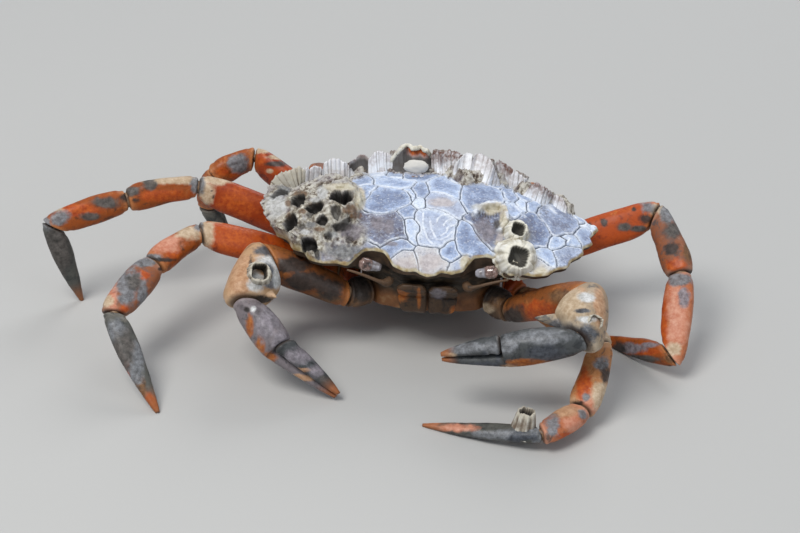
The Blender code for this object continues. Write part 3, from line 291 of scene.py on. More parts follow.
# Colour patches as seen, by tint: middle, half width and half height in pixels.
SHELL_PATCHES = {
    "white": [(276, 206, 10, 13), (322, 192, 6, 7), (315, 200, 6, 3), (305, 232, 5, 3), (334, 235, 6, 4),
        (487, 207, 16, 5)],
    "cream": [(342, 187, 17, 3.5), (360, 199, 5, 12), (349, 264, 5, 2.5), (465, 262, 5, 7), (508, 245, 12, 5),
        (541, 272, 9, 7), (517, 273, 10, 6), (498, 258, 5, 6), (494, 208, 14, 6), (503, 219, 4, 9)],
    "brown": [(300, 193.5, 9, 4), (316, 205, 8, 2.5), (303, 211, 4, 3), (289, 216, 2.5, 4), (320, 229, 7, 2.5),
        (351, 209, 9, 5), (357, 215, 7, 4), (288, 203, 3, 3)],
    "mauve": [(352, 232, 14, 9), (378, 224, 8, 8), (279, 197, 7, 4), (484, 226, 10, 9), (389, 226, 6, 8),
        (391, 244, 8, 3), (486, 232, 12, 10)],
    "grey": [(345, 252, 18, 9), (283, 191, 9, 6), (310, 225, 6, 4)],
    "amber": [(327, 264, 9, 2.6), (344, 264, 7, 3), (361, 256, 8, 3), (371, 250, 5, 2), (300, 254, 6, 2),
        (397, 274, 6, 1.6), (412, 276.5, 7, 1.6), (440, 276, 7, 1.6), (455, 275, 7, 1.8), (388, 262, 2.5, 8),
        (469, 263, 2, 6), (480, 256.5, 8, 1.6), (540, 281, 12, 1.8), (566, 272, 10, 1.8), (584, 258, 5, 5)],
    "rose": [(475, 260, 12, 3), (430, 262, 12, 12), (404, 264, 12, 10), (441, 203, 14, 5), (500, 238, 4, 8)],
    # The first and third dark patches are painted shadow, on the slope under the holes and beside the arched ridge;
    # the stripes after them are the dark bars of its comb.
    "dark": [(341, 227, 11, 4.5), (349, 240, 5, 4), (497, 224, 6, 5)] + [
        (480 + 2.7 * k, 215.5 - 0.5 * abs(k - 3), 0.9, 3.4) for k in range(7)]}
# The same for each piece of a limb or of the mouth. The dark patches on the claws' merus and base are painted
# shadow under the shield.
LIMB_PATCHES = {
    "leg2_right_merus": {"cream": [(214, 179, 22, 7), (206, 192, 10, 14)], "grey": [(201, 184, 5, 12)],
        "dark": [(212, 191, 1.6, 1.6), (214, 197, 1.6, 2)], "red": [(238, 202, 22, 16)]},
    "leg2_right_carpus": {"cream": [(172, 180, 34, 5)], "grey": [(196, 185, 6, 9)], "mud": [(150, 184, 8, 6),
        (131, 192, 9, 5)], "dark": [(136, 200, 5, 3)], "red": [(168, 196, 32, 7)]},
    "leg2_right_propodus": {"mud": [(106, 203, 15, 6), (90, 216, 12, 4)], "dark": [(128, 197, 9, 5)],
        "red": [(78, 210, 30, 8)], "grey": [(60, 217, 12, 9), (46, 224, 5, 9)], "cream": [(56, 209, 10, 4)]},
    "leg2_right_dactyl": {"grey": [(50, 224, 10, 8)], "mud": [(58, 250, 14, 34)]},
    "leg1_right_merus": {"cream": [(206, 233, 11, 17), (218, 219, 18, 4)], "grey": [(199, 226, 5, 8)],
        "red": [(236, 236, 24, 16)]},
    "leg1_right_carpus": {"cream": [(188, 232, 14, 8)], "grey": [(199, 226, 6, 6), (152, 258, 12, 4)],
        "pink": [(165, 243, 20, 11)], "red": [(173, 251, 9, 8)], "dark": [(163, 260, 14, 2.4)]},
    "leg1_right_propodus": {"grey": [(142, 262, 15, 5), (128, 286, 13, 22), (142, 295, 7, 16)],
        "pink": [(112, 288, 7, 26)], "red": [(143, 275, 9, 5), (124, 309, 6, 5)], "cream": [(107, 301, 8, 6)],
        "mud": [(134, 283, 8, 10)], "dark": [(160, 269, 3, 2)]},
    "leg1_right_dactyl": {"grey": [(116, 331, 11, 12), (136, 362, 10, 24)], "mud": [(124, 350, 12, 22)],
        "red": [(127, 372, 4, 14), (150, 403, 8, 10)], "brown": [(139, 388, 7, 14)]},
    "claw_right_merus": {"dark": [(292, 266, 20, 10), (304, 281, 26, 12), (330, 288, 16, 12)],
        "brown": [(312, 299, 28, 7)], "red": [(284, 298, 8, 5)]},
    "claw_right_base": {"dark": [(340, 284, 34, 16), (360, 290, 16, 14)], "brown": [(350, 302, 22, 8)]},
    "claw_left_base": {"dark": [(480, 290, 40, 14)], "cream": [(486, 308, 10, 6)], "orange": [(474, 310, 10, 8)],
        "brown": [(500, 300, 14, 10)]},
    "maxilliped_right": {"orange": [(398, 296, 12, 7), (419, 298, 2.5, 10)]},
    "maxilliped_left": {"mauve": [(438, 294, 9, 6)], "orange": [(456, 312, 6, 6)]},
    "claw_right_carpus": {"tan": [(240, 282, 12, 24), (243, 262, 8, 10)], "white": [(257, 282, 9, 13),
        (269, 262, 14, 8), (277, 275, 5, 14)], "grey": [(270, 281, 9, 9)], "dark": [(262, 299, 14, 5),
        (251, 268, 2, 12)], "slate": [(266, 250, 14, 6), (267, 269, 8, 7)]},
    "claw_right_palm": {"mauve": [(266, 325, 14, 20), (281, 343, 12, 14)], "orange": [(250, 326, 5, 14),
        (260, 345, 6, 12), (270, 357, 8, 6)], "white": [(253, 309, 4, 4)], "dark": [(247, 309, 4, 4)],
        "tan": [(300, 378, 24, 4)], "slate": [(287, 350, 8, 3)]},
    "claw_right_finger": {"mauve": [(300, 357, 16, 10), (316, 371, 10, 8)], "mud": [(325, 380, 8, 6)],
        "tan": [(300, 370, 20, 2.4)], "pink": [(334, 392, 6, 6)]},
    "claw_left_carpus": {"cream": [(570, 303, 20, 18)], "tan": [(600, 307, 7, 24), (574, 290, 14, 5)],
        "white": [(586, 297, 9, 6), (587, 319, 12, 4)], "grey": [(572, 335, 22, 12), (556, 327, 8, 8)],
        "slate": [(588, 334, 12, 9), (583, 311, 9, 2.6)]},
    "claw_left_merus": {"red": [(540, 312, 20, 12)], "dark": [(512, 316, 16, 12)], "brown": [(560, 296, 12, 8)]},
    "claw_left_palm": {"grey": [(540, 338, 32, 8), (508, 345, 12, 10)], "slate": [(545, 353, 24, 8),
        (498, 352, 3, 12), (480, 367, 26, 5)], "orange": [(530, 363, 24, 5)], "tan": [(508, 367, 10, 3)]},
    "claw_left_finger": {"grey": [(470, 348, 26, 6), (491, 351, 9, 12), (437, 354, 5, 5)],
        "cream": [(446, 356, 10, 4)], "tan": [(466, 361, 20, 2.6)], "slate": [(484, 357, 4, 8)]},
    "leg1_left_merus": {"tan": [(588, 346, 16, 12)], "cream": [(608, 342, 5, 14)], "red": [(598, 338, 7, 6)],
        "dark": [(604, 354, 9, 3)]},
    "leg1_left_carpus": {"red": [(584, 386, 9, 20)], "cream": [(602, 397, 11, 20)], "pink": [(594, 404, 12, 14)],
        "dark": [(605, 375, 5, 10), (578, 403, 6, 2.6)], "grey": [(601, 364, 9, 8), (586, 397, 4, 4)],
        "tan": [(607, 402, 4, 18)]},
    "leg1_left_propodus": {"tan": [(564, 411, 17, 8)], "pink": [(572, 423, 14, 9)], "grey": [(553, 425, 9, 13),
        (583, 415, 6, 6)], "red": [(566, 436, 10, 4)]},
    "leg1_left_dactyl": {"grey": [(500, 435, 34, 6), (537, 432, 8, 16)], "slate": [(522, 437, 16, 6)],
        "orange": [(496, 446, 34, 3)], "pink": [(455, 428, 26, 5), (432, 423, 10, 6)]},
    "leg2_left_merus": {"dark": [(646, 219, 9, 6), (604, 222, 4, 5), (634, 209, 2.6, 2.6), (589, 225, 2.6, 3)],
        "mud": [(624, 227, 7, 4), (640, 229, 10, 3)], "grey": [(648, 208, 9, 7)], "cream": [(655, 210, 6, 9),
        (636, 200, 26, 3)], "red": [(614, 206, 24, 7)]},
    "leg2_left_carpus": {"grey": [(668, 214, 10, 12)], "mud": [(672, 231, 10, 9), (690, 276, 6, 6)],
        "dark": [(672, 249, 9.5, 7)], "red": [(676, 264, 12, 8)], "brown": [(688, 252, 5, 12)],
        "cream": [(660, 208, 4, 8)]},
    "leg2_left_propodus": {"pink": [(678, 312, 13, 38)], "red": [(664, 322, 5, 38), (671, 292, 3, 10)],
        "cream": [(673, 350, 10, 8)], "grey": [(680, 280, 14, 8)], "mauve": [(684, 296, 6, 14)]},
    "leg2_left_dactyl": {"mauve": [(632, 348, 16, 6), (650, 345, 12, 3)], "red": [(648, 352, 16, 3.4)],
        "dark": [(619, 348, 7, 8)], "mud": [(640, 359, 20, 4)], "brown": [(672, 358, 9, 6)]},
    "leg3_right_carpus": {"grey": [(238, 163, 13, 10)], "red": [(222, 172, 8, 5), (240, 176, 12, 4)]},
    "leg3_right_merus": {"cream": [(262, 150, 12, 4), (286, 157, 22, 3), (270, 171, 4, 3)], "red": [(262, 160, 6, 9),
        (284, 172, 20, 5)], "dark": [(276, 164, 14, 3.4)]}}
# Two tones of each tint. The limbs take all but the first, in this order.
TINTS = {
    "rose": ((0.36, 0.31, 0.31), (0.60, 0.55, 0.54)),
    "red": ((0.30, 0.036, 0.004), (0.52, 0.105, 0.012)), "orange": ((0.26, 0.062, 0.009), (0.48, 0.165, 0.034)),
    "pink": ((0.46, 0.15, 0.08), (0.62, 0.31, 0.21)), "tan": ((0.34, 0.17, 0.08), (0.58, 0.36, 0.22)),
    "cream": ((0.36, 0.25, 0.15), (0.60, 0.48, 0.34)), "amber": ((0.24, 0.10, 0.02), (0.52, 0.32, 0.10)),
    "brown": ((0.06, 0.028, 0.012), (0.22, 0.11, 0.045)), "mauve": ((0.10, 0.09, 0.10), (0.30, 0.27, 0.30)),
    "grey": ((0.08, 0.082, 0.085), (0.25, 0.26, 0.28)), "white": ((0.34, 0.34, 0.32), (0.70, 0.71, 0.72)),
    "mud": ((0.035, 0.032, 0.028), (0.13, 0.115, 0.105)), "slate": ((0.02, 0.023, 0.03), (0.09, 0.10, 0.12)),
    "dark": ((0.012, 0.010, 0.009), (0.05, 0.038, 0.033))}

# Limbs: wall point, end of the base, knee, end of the carpus, end of the propodus, tip.
LEG_JOINTS = {
    "leg1_left": [(15.0, -7.6, 10.4), (19.6, -10.2, 9.8), (36.2, -31.4, 11.0), (32.8, -45.1, 4.2),
                  (25.0, -53.9, 3.5), (1.2, -48.4, 0.3)],
    "leg2_left": [(15.0, -0.2, 11.0), (20.2, 0.6, 11.8), (47.7, 6.0, 22.2), (53.0, -7.6, 15.6),
                  (51.5, -23.4, 5.1), (36.7, -9.9, 0.2)],
    "leg3_left": [(15.0, 7.8, 11.0), (19.8, 10.2, 10.6), (24.4, 33.0, 7.4), (19.4, 43.2, 7.0),
                  (8.0, 51.6, 5.4), (-7.6, 57.6, 0.1)],
    "leg4_left": [(13.2, 14.0, 11.6), (15.2, 17.8, 11.6), (16.0, 32.0, 9.4), (9.4, 38.2, 8.6),
                  (0.2, 43.6, 5.8), (-11.0, 48.2, 0.1)],
    "leg1_right": [(-15.0, -8.2, 11.0), (-20.0, -8.8, 11.8), (-49.6, -10.2, 19.8), (-57.6, -21.6, 18.0),
                   (-63.7, -35.4, 13.8), (-52.4, -49.9, 0.1)],
    "leg2_right": [(-15.0, 0.0, 11.0), (-20.2, 0.6, 12.0), (-51.9, 3.0, 24.0), (-66.6, -2.1, 22.5),
                   (-81.5, -9.4, 19.0), (-76.3, -7.8, 0.0)],
    "leg3_right": [(-15.0, 8.2, 11.0), (-19.8, 9.6, 11.8), (-41.6, 19.0, 23.6), (-49.6, 15.4, 20.6),
                   (-53.0, 22.6, 9.0), (-47.2, 22.4, 0.1)],
    "leg4_right": [(-13.2, 14.0, 11.6), (-15.6, 17.8, 12.0), (-25.0, 30.4, 13.6), (-29.6, 38.0, 11.2),
                   (-26.4, 47.0, 7.0), (-20.0, 55.0, 0.1)]}
SEGMENTS = ["base", "merus", "carpus", "propodus", "dactyl"]
WALKING = {
    "base": [(0, 2.6, 2.2), (0.12, 3.1, 2.6), (0.6, 3.2, 2.7), (1, 2.1, 1.8)],
    "merus": [(0, 2.1, 1.7), (0.08, 2.9, 2.1), (0.2, 3.2, 2.2), (0.45, 3.7, 2.3), (0.8, 3.6, 2.2),
              (0.94, 3.1, 2.0), (1, 2.1, 1.7)],
    "carpus": [(0, 1.8, 1.5), (0.1, 2.5, 1.9), (0.4, 2.8, 2.1), (0.75, 3.1, 2.3), (0.92, 2.9, 2.2),
               (1, 2.1, 1.7)],
    "propodus": [(0, 1.9, 1.5), (0.1, 2.7, 1.9), (0.4, 3.1, 2.1), (0.75, 2.9, 1.9), (0.93, 2.4, 1.8),
                 (1, 1.7, 1.4)],
    "dactyl": [(0, 1.6, 1.3), (0.08, 2.2, 1.7), (0.3, 2.4, 1.7), (0.6, 1.9, 1.3), (0.85, 1.1, 0.9),
               (1, 0.45, 0.45)]}
SWIMMING = {
    "base": [(0, 2.2, 2.0), (0.15, 2.6, 2.4), (0.6, 2.6, 2.4), (1, 1.9, 1.7)],
    "merus": [(0, 1.8, 1.6), (0.1, 2.4, 2.0), (0.6, 2.8, 2.0), (0.9, 2.6, 1.9), (1, 1.9, 1.6)],
    "carpus": [(0, 1.6, 1.4), (0.15, 2.2, 1.7), (0.8, 2.5, 1.7), (1, 1.8, 1.4)],
    "propodus": [(0, 1.7, 1.3), (0.15, 2.5, 1.4), (0.6, 2.8, 1.3), (0.9, 2.3, 1.2), (1, 1.6, 1.1)],
    "dactyl": [(0, 1.5, 1.0), (0.2, 2.4, 1.0), (0.5, 2.5, 0.9), (0.8, 1.5, 0.7), (1, 0.5, 0.45)]}
STOUTNESS = {"leg1_right_propodus": 1.14, "leg1_right_dactyl": 1.08, "leg2_left_carpus": 1.1,
             "leg2_left_propodus": 1.08, "leg1_left_carpus": 1.08, "leg1_left_dactyl": 0.86}
BOW = {"base": 0.0, "merus": 0.7, "carpus": 0.5, "propodus": 0.3, "dactyl": 1.1}
LOW_BOW = 0.2
CLAW_JOINTS = {
    "claw_left": [(12.8, -14.5, 11.2), (17.2, -18.6, 11.0), (32.2, -28.4, 20.8), (31.3, -41.8, 18.8),
                  (15.2, -42.2, 14.9), (4.1, -40.8, 12.0)],
    "claw_right": [(-12.8, -14.5, 11.4), (-17.2, -18.6, 12.2), (-34.3, -19.8, 20.0), (-37.0, -32.4, 16.8),
                   (-28.7, -39.2, 9.8), (-16.9, -41.2, 1.4)]}
CLAW_SPINE = {"claw_left": (22.4, -34.6, 18.9), "claw_right": (-30.6, -31.6, 18.0)}
CLAW = {
    "base": [(0, 2.6, 2.5), (0.15, 3.1, 3.0), (0.6, 3.2, 3.0), (1, 2.4, 2.4)],
    "merus": [(0, 2.3, 2.3), (0.12, 3.0, 3.0), (0.4, 3.4, 3.2), (0.75, 3.7, 3.5), (0.93, 3.3, 3.1),
              (1, 2.6, 2.5)],
    "carpus": [(0, 2.7, 2.6), (0.09, 4.1, 3.8), (0.22, 5.0, 4.5), (0.5, 5.4, 4.9), (0.8, 5.0, 4.6),
               (0.93, 4.1, 3.8), (1, 2.8, 2.7)]}
PALM = [(0, 2.0, 1.9), (0.08, 2.7, 2.5), (0.3, 3.4, 2.9), (0.6, 3.7, 3.1), (0.85, 3.5, 2.9), (0.92, 3.2, 2.7)]
LOWER_FINGER = [(0.0, 1.5, 2.2), (0.4, 1.15, 1.8), (0.8, 0.75, 1.1), (1, 0.4, 0.45)]
UPPER_FINGER = [(0.0, 1.2, 1.8), (0.05, 1.55, 2.3), (0.2, 1.5, 2.3), (0.5, 1.15, 1.9), (0.85, 0.7, 1.1),
                (1, 0.4, 0.45)]
TIP_SPREAD = 0.6
LIMB_BARNACLES = {
    "claw_right_carpus": ((-35.2, -27.0, 19.6), (-34.0, -31.4, 23.8), 3.3),
    "claw_left_carpus": ((32.2, -37.4, 19.4), (34.4, -41.6, 23.0), 2.4),
    "leg1_left_dactyl": ((21.4, -51.9, 3.0), (21.9, -51.6, 7.4), 2.8)}

# Body, face and tail.
BODY_OUTLINE = [(0, -19.6), (5.6, -19.4), (10.6, -17.6), (15.0, -11.4), (15.0, -4.0), (15.0, 4.0), (15.0, 12.0),
                (11.4, 16.0), (8.4, 18.8), (0, 19.4)]
BODY_SHARES = (0.0, 0.14, 0.5, 0.75, 1.0)
BODY_LEVELS = [(5.4, 0.84), (7.8, 1.0), (14.6, 1.0)]
FLARE_LEVEL = 18.0
FLARE_MIX = 0.7
BODY_TOP_SHARE = 0.86
SOCKET_TOP_SHARE = 0.74
BELLY_RISE = 3.0
BELLY_START = -4.0
EYE_INNER = (9.8, -23.3, 21.8)
EYE_OUTER = (14.4, -23.6, 22.8)
EYE_PROFILE = [(0, 0.6), (0.12, 0.9), (0.35, 1.05), (0.6, 1.4), (0.82, 1.35), (0.95, 0.85), (1, 0.45)]
FEELER_PATH = [(7.9, -23.4, 19.0), (8.3, -24.6, 19.2), (9.0, -25.6, 19.6), (10.4, -26.2, 20.4), (12.4, -26.6, 21.4),
               (14.4, -26.8, 22.2), (16.6, -26.8, 22.8)]
FEELER_SIZES = [0.9, 1.0, 0.75, 0.42, 0.36, 0.3, 0.24]
MOUTH_LEVELS = [(10.2, -20.0, 0.4, 4.6, 1.2), (11.0, -20.0, 0.2, 5.6, 1.8), (14.0, -20.0, 0.2, 6.2, 2.2),
                (14.6, -20.1, 0.2, 5.8, 1.7), (15.1, -20.3, 0.2, 6.2, 2.2), (17.4, -22.6, 0.3, 6.4, 2.0),
                (18.6, -23.6, 1.0, 5.4, 1.2)]
TAIL_PATH = [(25.0, 16.8), (23.2, 12.0), (21.3, 7.2), (16.8, 4.3), (12.0, 4.2), (6.0, 4.2), (0.0, 4.2), (-5.4, 4.2),
             (-9.0, 4.25)]
TAIL_HALF_WIDTHS = [6.6, 7.6, 8.6, 9.8, 10.6, 10.8, 9.6, 6.6, 2.6]
TAIL_HALF_THICK = 0.8

# Finishes of the limbs: pale, middle and dark colour, the mud's colour and its share. The dark brown "mouth"
# finish on the claws' bases is painted shade under the shield.
FINISHES = {
    "bright": ((0.56, 0.20, 0.05), (0.40, 0.062, 0.005), (0.20, 0.025, 0.004), (0.08, 0.055, 0.04), 0.10),
    "deep": ((0.42, 0.11, 0.02), (0.29, 0.036, 0.002), (0.11, 0.012, 0.002), (0.05, 0.03, 0.02), 0.12),
    "mottled": ((0.50, 0.20, 0.07), (0.30, 0.065, 0.007), (0.12, 0.03, 0.006), (0.05, 0.042, 0.034), 0.24),
    "mauve": ((0.38, 0.20, 0.13), (0.25, 0.085, 0.036), (0.13, 0.08, 0.07), (0.10, 0.09, 0.09), 0.35),
    "slate": ((0.18, 0.165, 0.14), (0.085, 0.085, 0.075), (0.035, 0.036, 0.034), (0.05, 0.055, 0.055), 0.4),
    "pink": ((0.60, 0.30, 0.20), (0.44, 0.14, 0.055), (0.24, 0.06, 0.022), (0.09, 0.07, 0.06), 0.12),
    "tan": ((0.56, 0.36, 0.21), (0.42, 0.18, 0.065), (0.22, 0.085, 0.03), (0.10, 0.08, 0.07), 0.22),
    "cream": ((0.50, 0.42, 0.32), (0.34, 0.25, 0.16), (0.16, 0.12, 0.085), (0.10, 0.105, 0.11), 0.28),
    "peach": ((0.62, 0.42, 0.26), (0.46, 0.28, 0.15), (0.26, 0.13, 0.065), (0.11, 0.09, 0.08), 0.12),
    "wet": ((0.17, 0.18, 0.19), (0.065, 0.07, 0.072), (0.022, 0.024, 0.026), (0.045, 0.05, 0.054), 0.4),
    "umber": ((0.46, 0.17, 0.045), (0.22, 0.07, 0.018), (0.06, 0.025, 0.010), (0.03, 0.025, 0.02), 0.22),
    "mouth": ((0.20, 0.11, 0.055), (0.07, 0.04, 0.022), (0.02, 0.013, 0.010), (0.03, 0.025, 0.02), 0.3),
    "lilac": ((0.32, 0.27, 0.28), (0.19, 0.165, 0.175), (0.08, 0.07, 0.075), (0.11, 0.11, 0.12), 0.3)}
LIMB_FINISH = {
    "leg1_right": ["deep", "bright", "mottled", "mauve", "slate"],
    "leg2_right": ["deep", "deep", "mottled", "mottled", "slate"],
    "leg3_right": ["deep", "deep", "mottled", "mottled", "slate"],
    "leg4_right": ["deep", "deep", "mottled", "mauve", "slate"],
    "leg1_left": ["deep", "tan", "tan", "pink", "slate"],
    "leg2_left": ["deep", "bright", "mauve", "pink", "mottled"],
    "leg3_left": ["deep", "deep", "mottled", "mauve", "slate"],
    "leg4_left": ["deep", "deep", "mottled", "mauve", "slate"],
    # The claws' bases take the dark brown "mouth" finish as painted shade under the shield.
    "claw_right": ["mouth", "umber", "peach", "lilac", "wet"],
    "claw_left": ["mouth", "umber", "cream", "wet", "wet"]}


def lattice(ix, iy, iz, seed):
    """A steady random number from 0 to 1 for each whole-number cell."""
    n = (ix * 374761393 + iy * 668265263 + iz * 1440662683 + seed * 974634777) & 0xFFFFFFFF
    n = ((n ^ (n >> 13)) * 1274126177) & 0xFFFFFFFF
    n = ((n ^ (n >> 16)) * 461845907) & 0xFFFFFFFF
    return ((n >> 8) & 0xFFFF) / 65535.0


def noise(points, size, octaves=3, seed=0):
    """Smooth noise from -1 to 1 at points in millimetres, with lumps of a size."""
    total = np.zeros(len(points))
    strength, whole = 1.0, 0.0
    for octave in range(octaves):
        p = points / size + 17.3 * octave
        cell = np.floor(p).astype(np.int64)
        f = p - cell
        f = f * f * (3 - 2 * f)
        value = np.zeros(len(points))
        for dx in (0, 1):
            for dy in (0, 1):
                for dz in (0, 1):
                    weight = (f[:, 0] if dx else 1 - f[:, 0]) * (f[:, 1] if dy else 1 - f[:, 1]) \
                        * (f[:, 2] if dz else 1 - f[:, 2])
                    value += weight * lattice(cell[:, 0] + dx, cell[:, 1] + dy, cell[:, 2] + dz, seed + octave)
        total += strength * (2 * value - 1)
        whole += strength
        strength *= 0.5
        size *= 0.5
    return total / whole


def smooth(low, high, value):
    t = np.clip((value - low) / (high - low), 0, 1)
    return t * t * (3 - 2 * t)


def curve(share, xs, ys):
    """A smooth curve through given values, without overshoot."""
    xs, ys = np.asarray(xs, float), np.asarray(ys, float)
    steps = np.diff(ys) / np.diff(xs)
    slopes = np.zeros(len(xs))
    slopes[0], slopes[-1] = steps[0], steps[-1]
    for k in range(1, len(xs) - 1):
        if steps[k - 1] * steps[k] > 0:
            slopes[k] = 2 * steps[k - 1] * steps[k] / (steps[k - 1] + steps[k])
    k = np.clip(np.searchsorted(xs, share) - 1, 0, len(xs) - 2)
    h = xs[k + 1] - xs[k]
    t = (share - xs[k]) / h
    return (ys[k] * (1 + 2 * t) * (1 - t) ** 2 + slopes[k] * h * t * (1 - t) ** 2
            + ys[k + 1] * t * t * (3 - 2 * t) + slopes[k + 1] * h * t * t * (t - 1))


def grid_faces(rows, columns):
    """Four-sided faces between rows of points; the last column meets the first."""
    row, column = (grid.ravel() for grid in np.meshgrid(np.arange(rows - 1), np.arange(columns), indexing="ij"))
    after = (column + 1) % columns
    return np.stack([row * columns + column, row * columns + after, (row + 1) * columns + after,
                     (row + 1) * columns + column], -1)


def unit(vector):
    return vector / np.linalg.norm(vector)


def turn(columns):
    """Angles once round."""
    return np.linspace(0, 2 * math.pi, columns, endpoint=False)


def spread(up, high, side, wide):
    """Points at given distances along two directions."""
    return up * high[:, None] + side * wide[:, None]


def around(angle, first, second):
    """A ring from one direction to another and on round."""
    return spread(first, np.cos(angle), second, np.sin(angle))


def outward(ways):
    return ways / np.maximum(np.linalg.norm(ways, axis=1, keepdims=True), 1e-6)


def pushed_out(points, columns, amount):
    """Points moved away from the middle of their own ring."""
    middle = np.repeat(points.reshape(-1, columns, 3).mean(1), columns, 0)
    return points + outward(points - middle) * amount[:, None]


def rings_along(line, sizes, columns, across):
    """Rings of points round a line."""
    rings = []
    for k, (point, size) in enumerate(zip(line, sizes)):
        ahead = unit(line[min(k + 1, len(line) - 1)] - line[max(k - 1, 0)])
        side = unit(np.cross(ahead, across))
        rings.append(point + around(turn(columns), np.cross(side, ahead), side) * size)
    return rings


def at_share(table, share):
    """The columns of a table of shares and sizes, smoothly, at shares of the way."""
    shares, *sizes = np.array(table, float).T
    return [curve(share, shares, values) for values in sizes]


class Form:
    """Gathers points, faces and per-point values, and makes one mesh object of them."""

    def __init__(self):
        self.points, self.quads, self.fans, self.values, self.count = [], [], [], {}, 0

    def add(self, points, faces, fans=(), **values):
        points = np.asarray(points, float)
        self.points.append(points)
        self.quads.append(np.asarray(faces) + self.count)
        self.fans += [np.asarray(fan) + self.count for fan in fans]
        for key in set(self.values) | set(values):
            have = self.values.setdefault(key, [np.zeros(self.count)] if self.count else [])
            given = values.get(key, 0.0)
            have.append(np.broadcast_to(np.asarray(given, float), (len(points),)).copy())
        self.count += len(points)

    def sleeve(self, points, columns, **values):
        """Adds rows of points joined into a closed sleeve with flat ends."""
        rows, ring = len(points) // columns, np.arange(columns)
        self.add(points, grid_faces(rows, columns), [ring[::-1], ring + (rows - 1) * columns], **values)

    def tint(self, patches):
        """Adds the strength of each tint at every point, from patches by where they are seen."""
        points = np.concatenate(self.points)
        across, down = as_seen(points)
        ragged = 0.45 * noise(points, 1.7, 4, 77)
        for kind, ovals in patches.items():
            here = [smooth(1.45, 0.35, in_oval(across, down, oval[:2], oval[2:]) + ragged) for oval in ovals]
            have = [np.concatenate(self.values[kind])] if kind in self.values else []
            self.values[kind] = [np.max(have + here, axis=0)]

    def make(self, name, finish, slot, *nodes):
        points = np.concatenate(self.points) * MM + SHIFT
        quads = np.concatenate(self.quads)
        mesh = bpy.data.meshes.new(name)
        corners = np.concatenate([quads.ravel()] + [fan for fan in self.fans])
        sizes = np.concatenate([np.full(len(quads), quads.shape[1])] + [[len(fan)] for fan in self.fans])
        mesh.vertices.add(len(points))
        mesh.vertices.foreach_set("co", points.ravel())
        mesh.loops.add(len(corners))
        mesh.loops.foreach_set("vertex_index", corners.astype(np.int32))
        mesh.polygons.add(len(sizes))
        mesh.polygons.foreach_set("loop_start", np.concatenate([[0], np.cumsum(sizes)[:-1]]).astype(np.int32))
        mesh.polygons.foreach_set("loop_total", sizes.astype(np.int32))
        mesh.update(calc_edges=True)
        mesh.validate()
        for key, parts in self.values.items():
            layer = mesh.attributes.new(key, "FLOAT", "POINT")
            layer.data.foreach_set("value", np.concatenate(parts).astype(np.float32))
        mesh.shade_smooth()
        made = bpy.data.objects.new(name, mesh)
        bpy.context.scene.collection.objects.link(made)
        mesh.materials.append(finish)
        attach(made, "root")
        if nodes:
            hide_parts(*nodes)
        return made


class Rings:
    """Gathers rings of points and their values, and closes them into a sleeve."""

    def __init__(self, columns):
        self.columns, self.parts, self.values = columns, [], {key: [] for key in RING_VALUES}

    def add(self, points, **given):
        self.parts.append(points)
        for key, parts in self.values.items():
            parts.append(np.broadcast_to(np.asarray(given.get(key, 0.0), float), (self.columns,)))

    def points(self):
        return np.concatenate(self.parts)

    def close(self, form, points):
        form.sleeve(points, self.columns, **{key: np.concatenate(parts) for key, parts in self.values.items()})


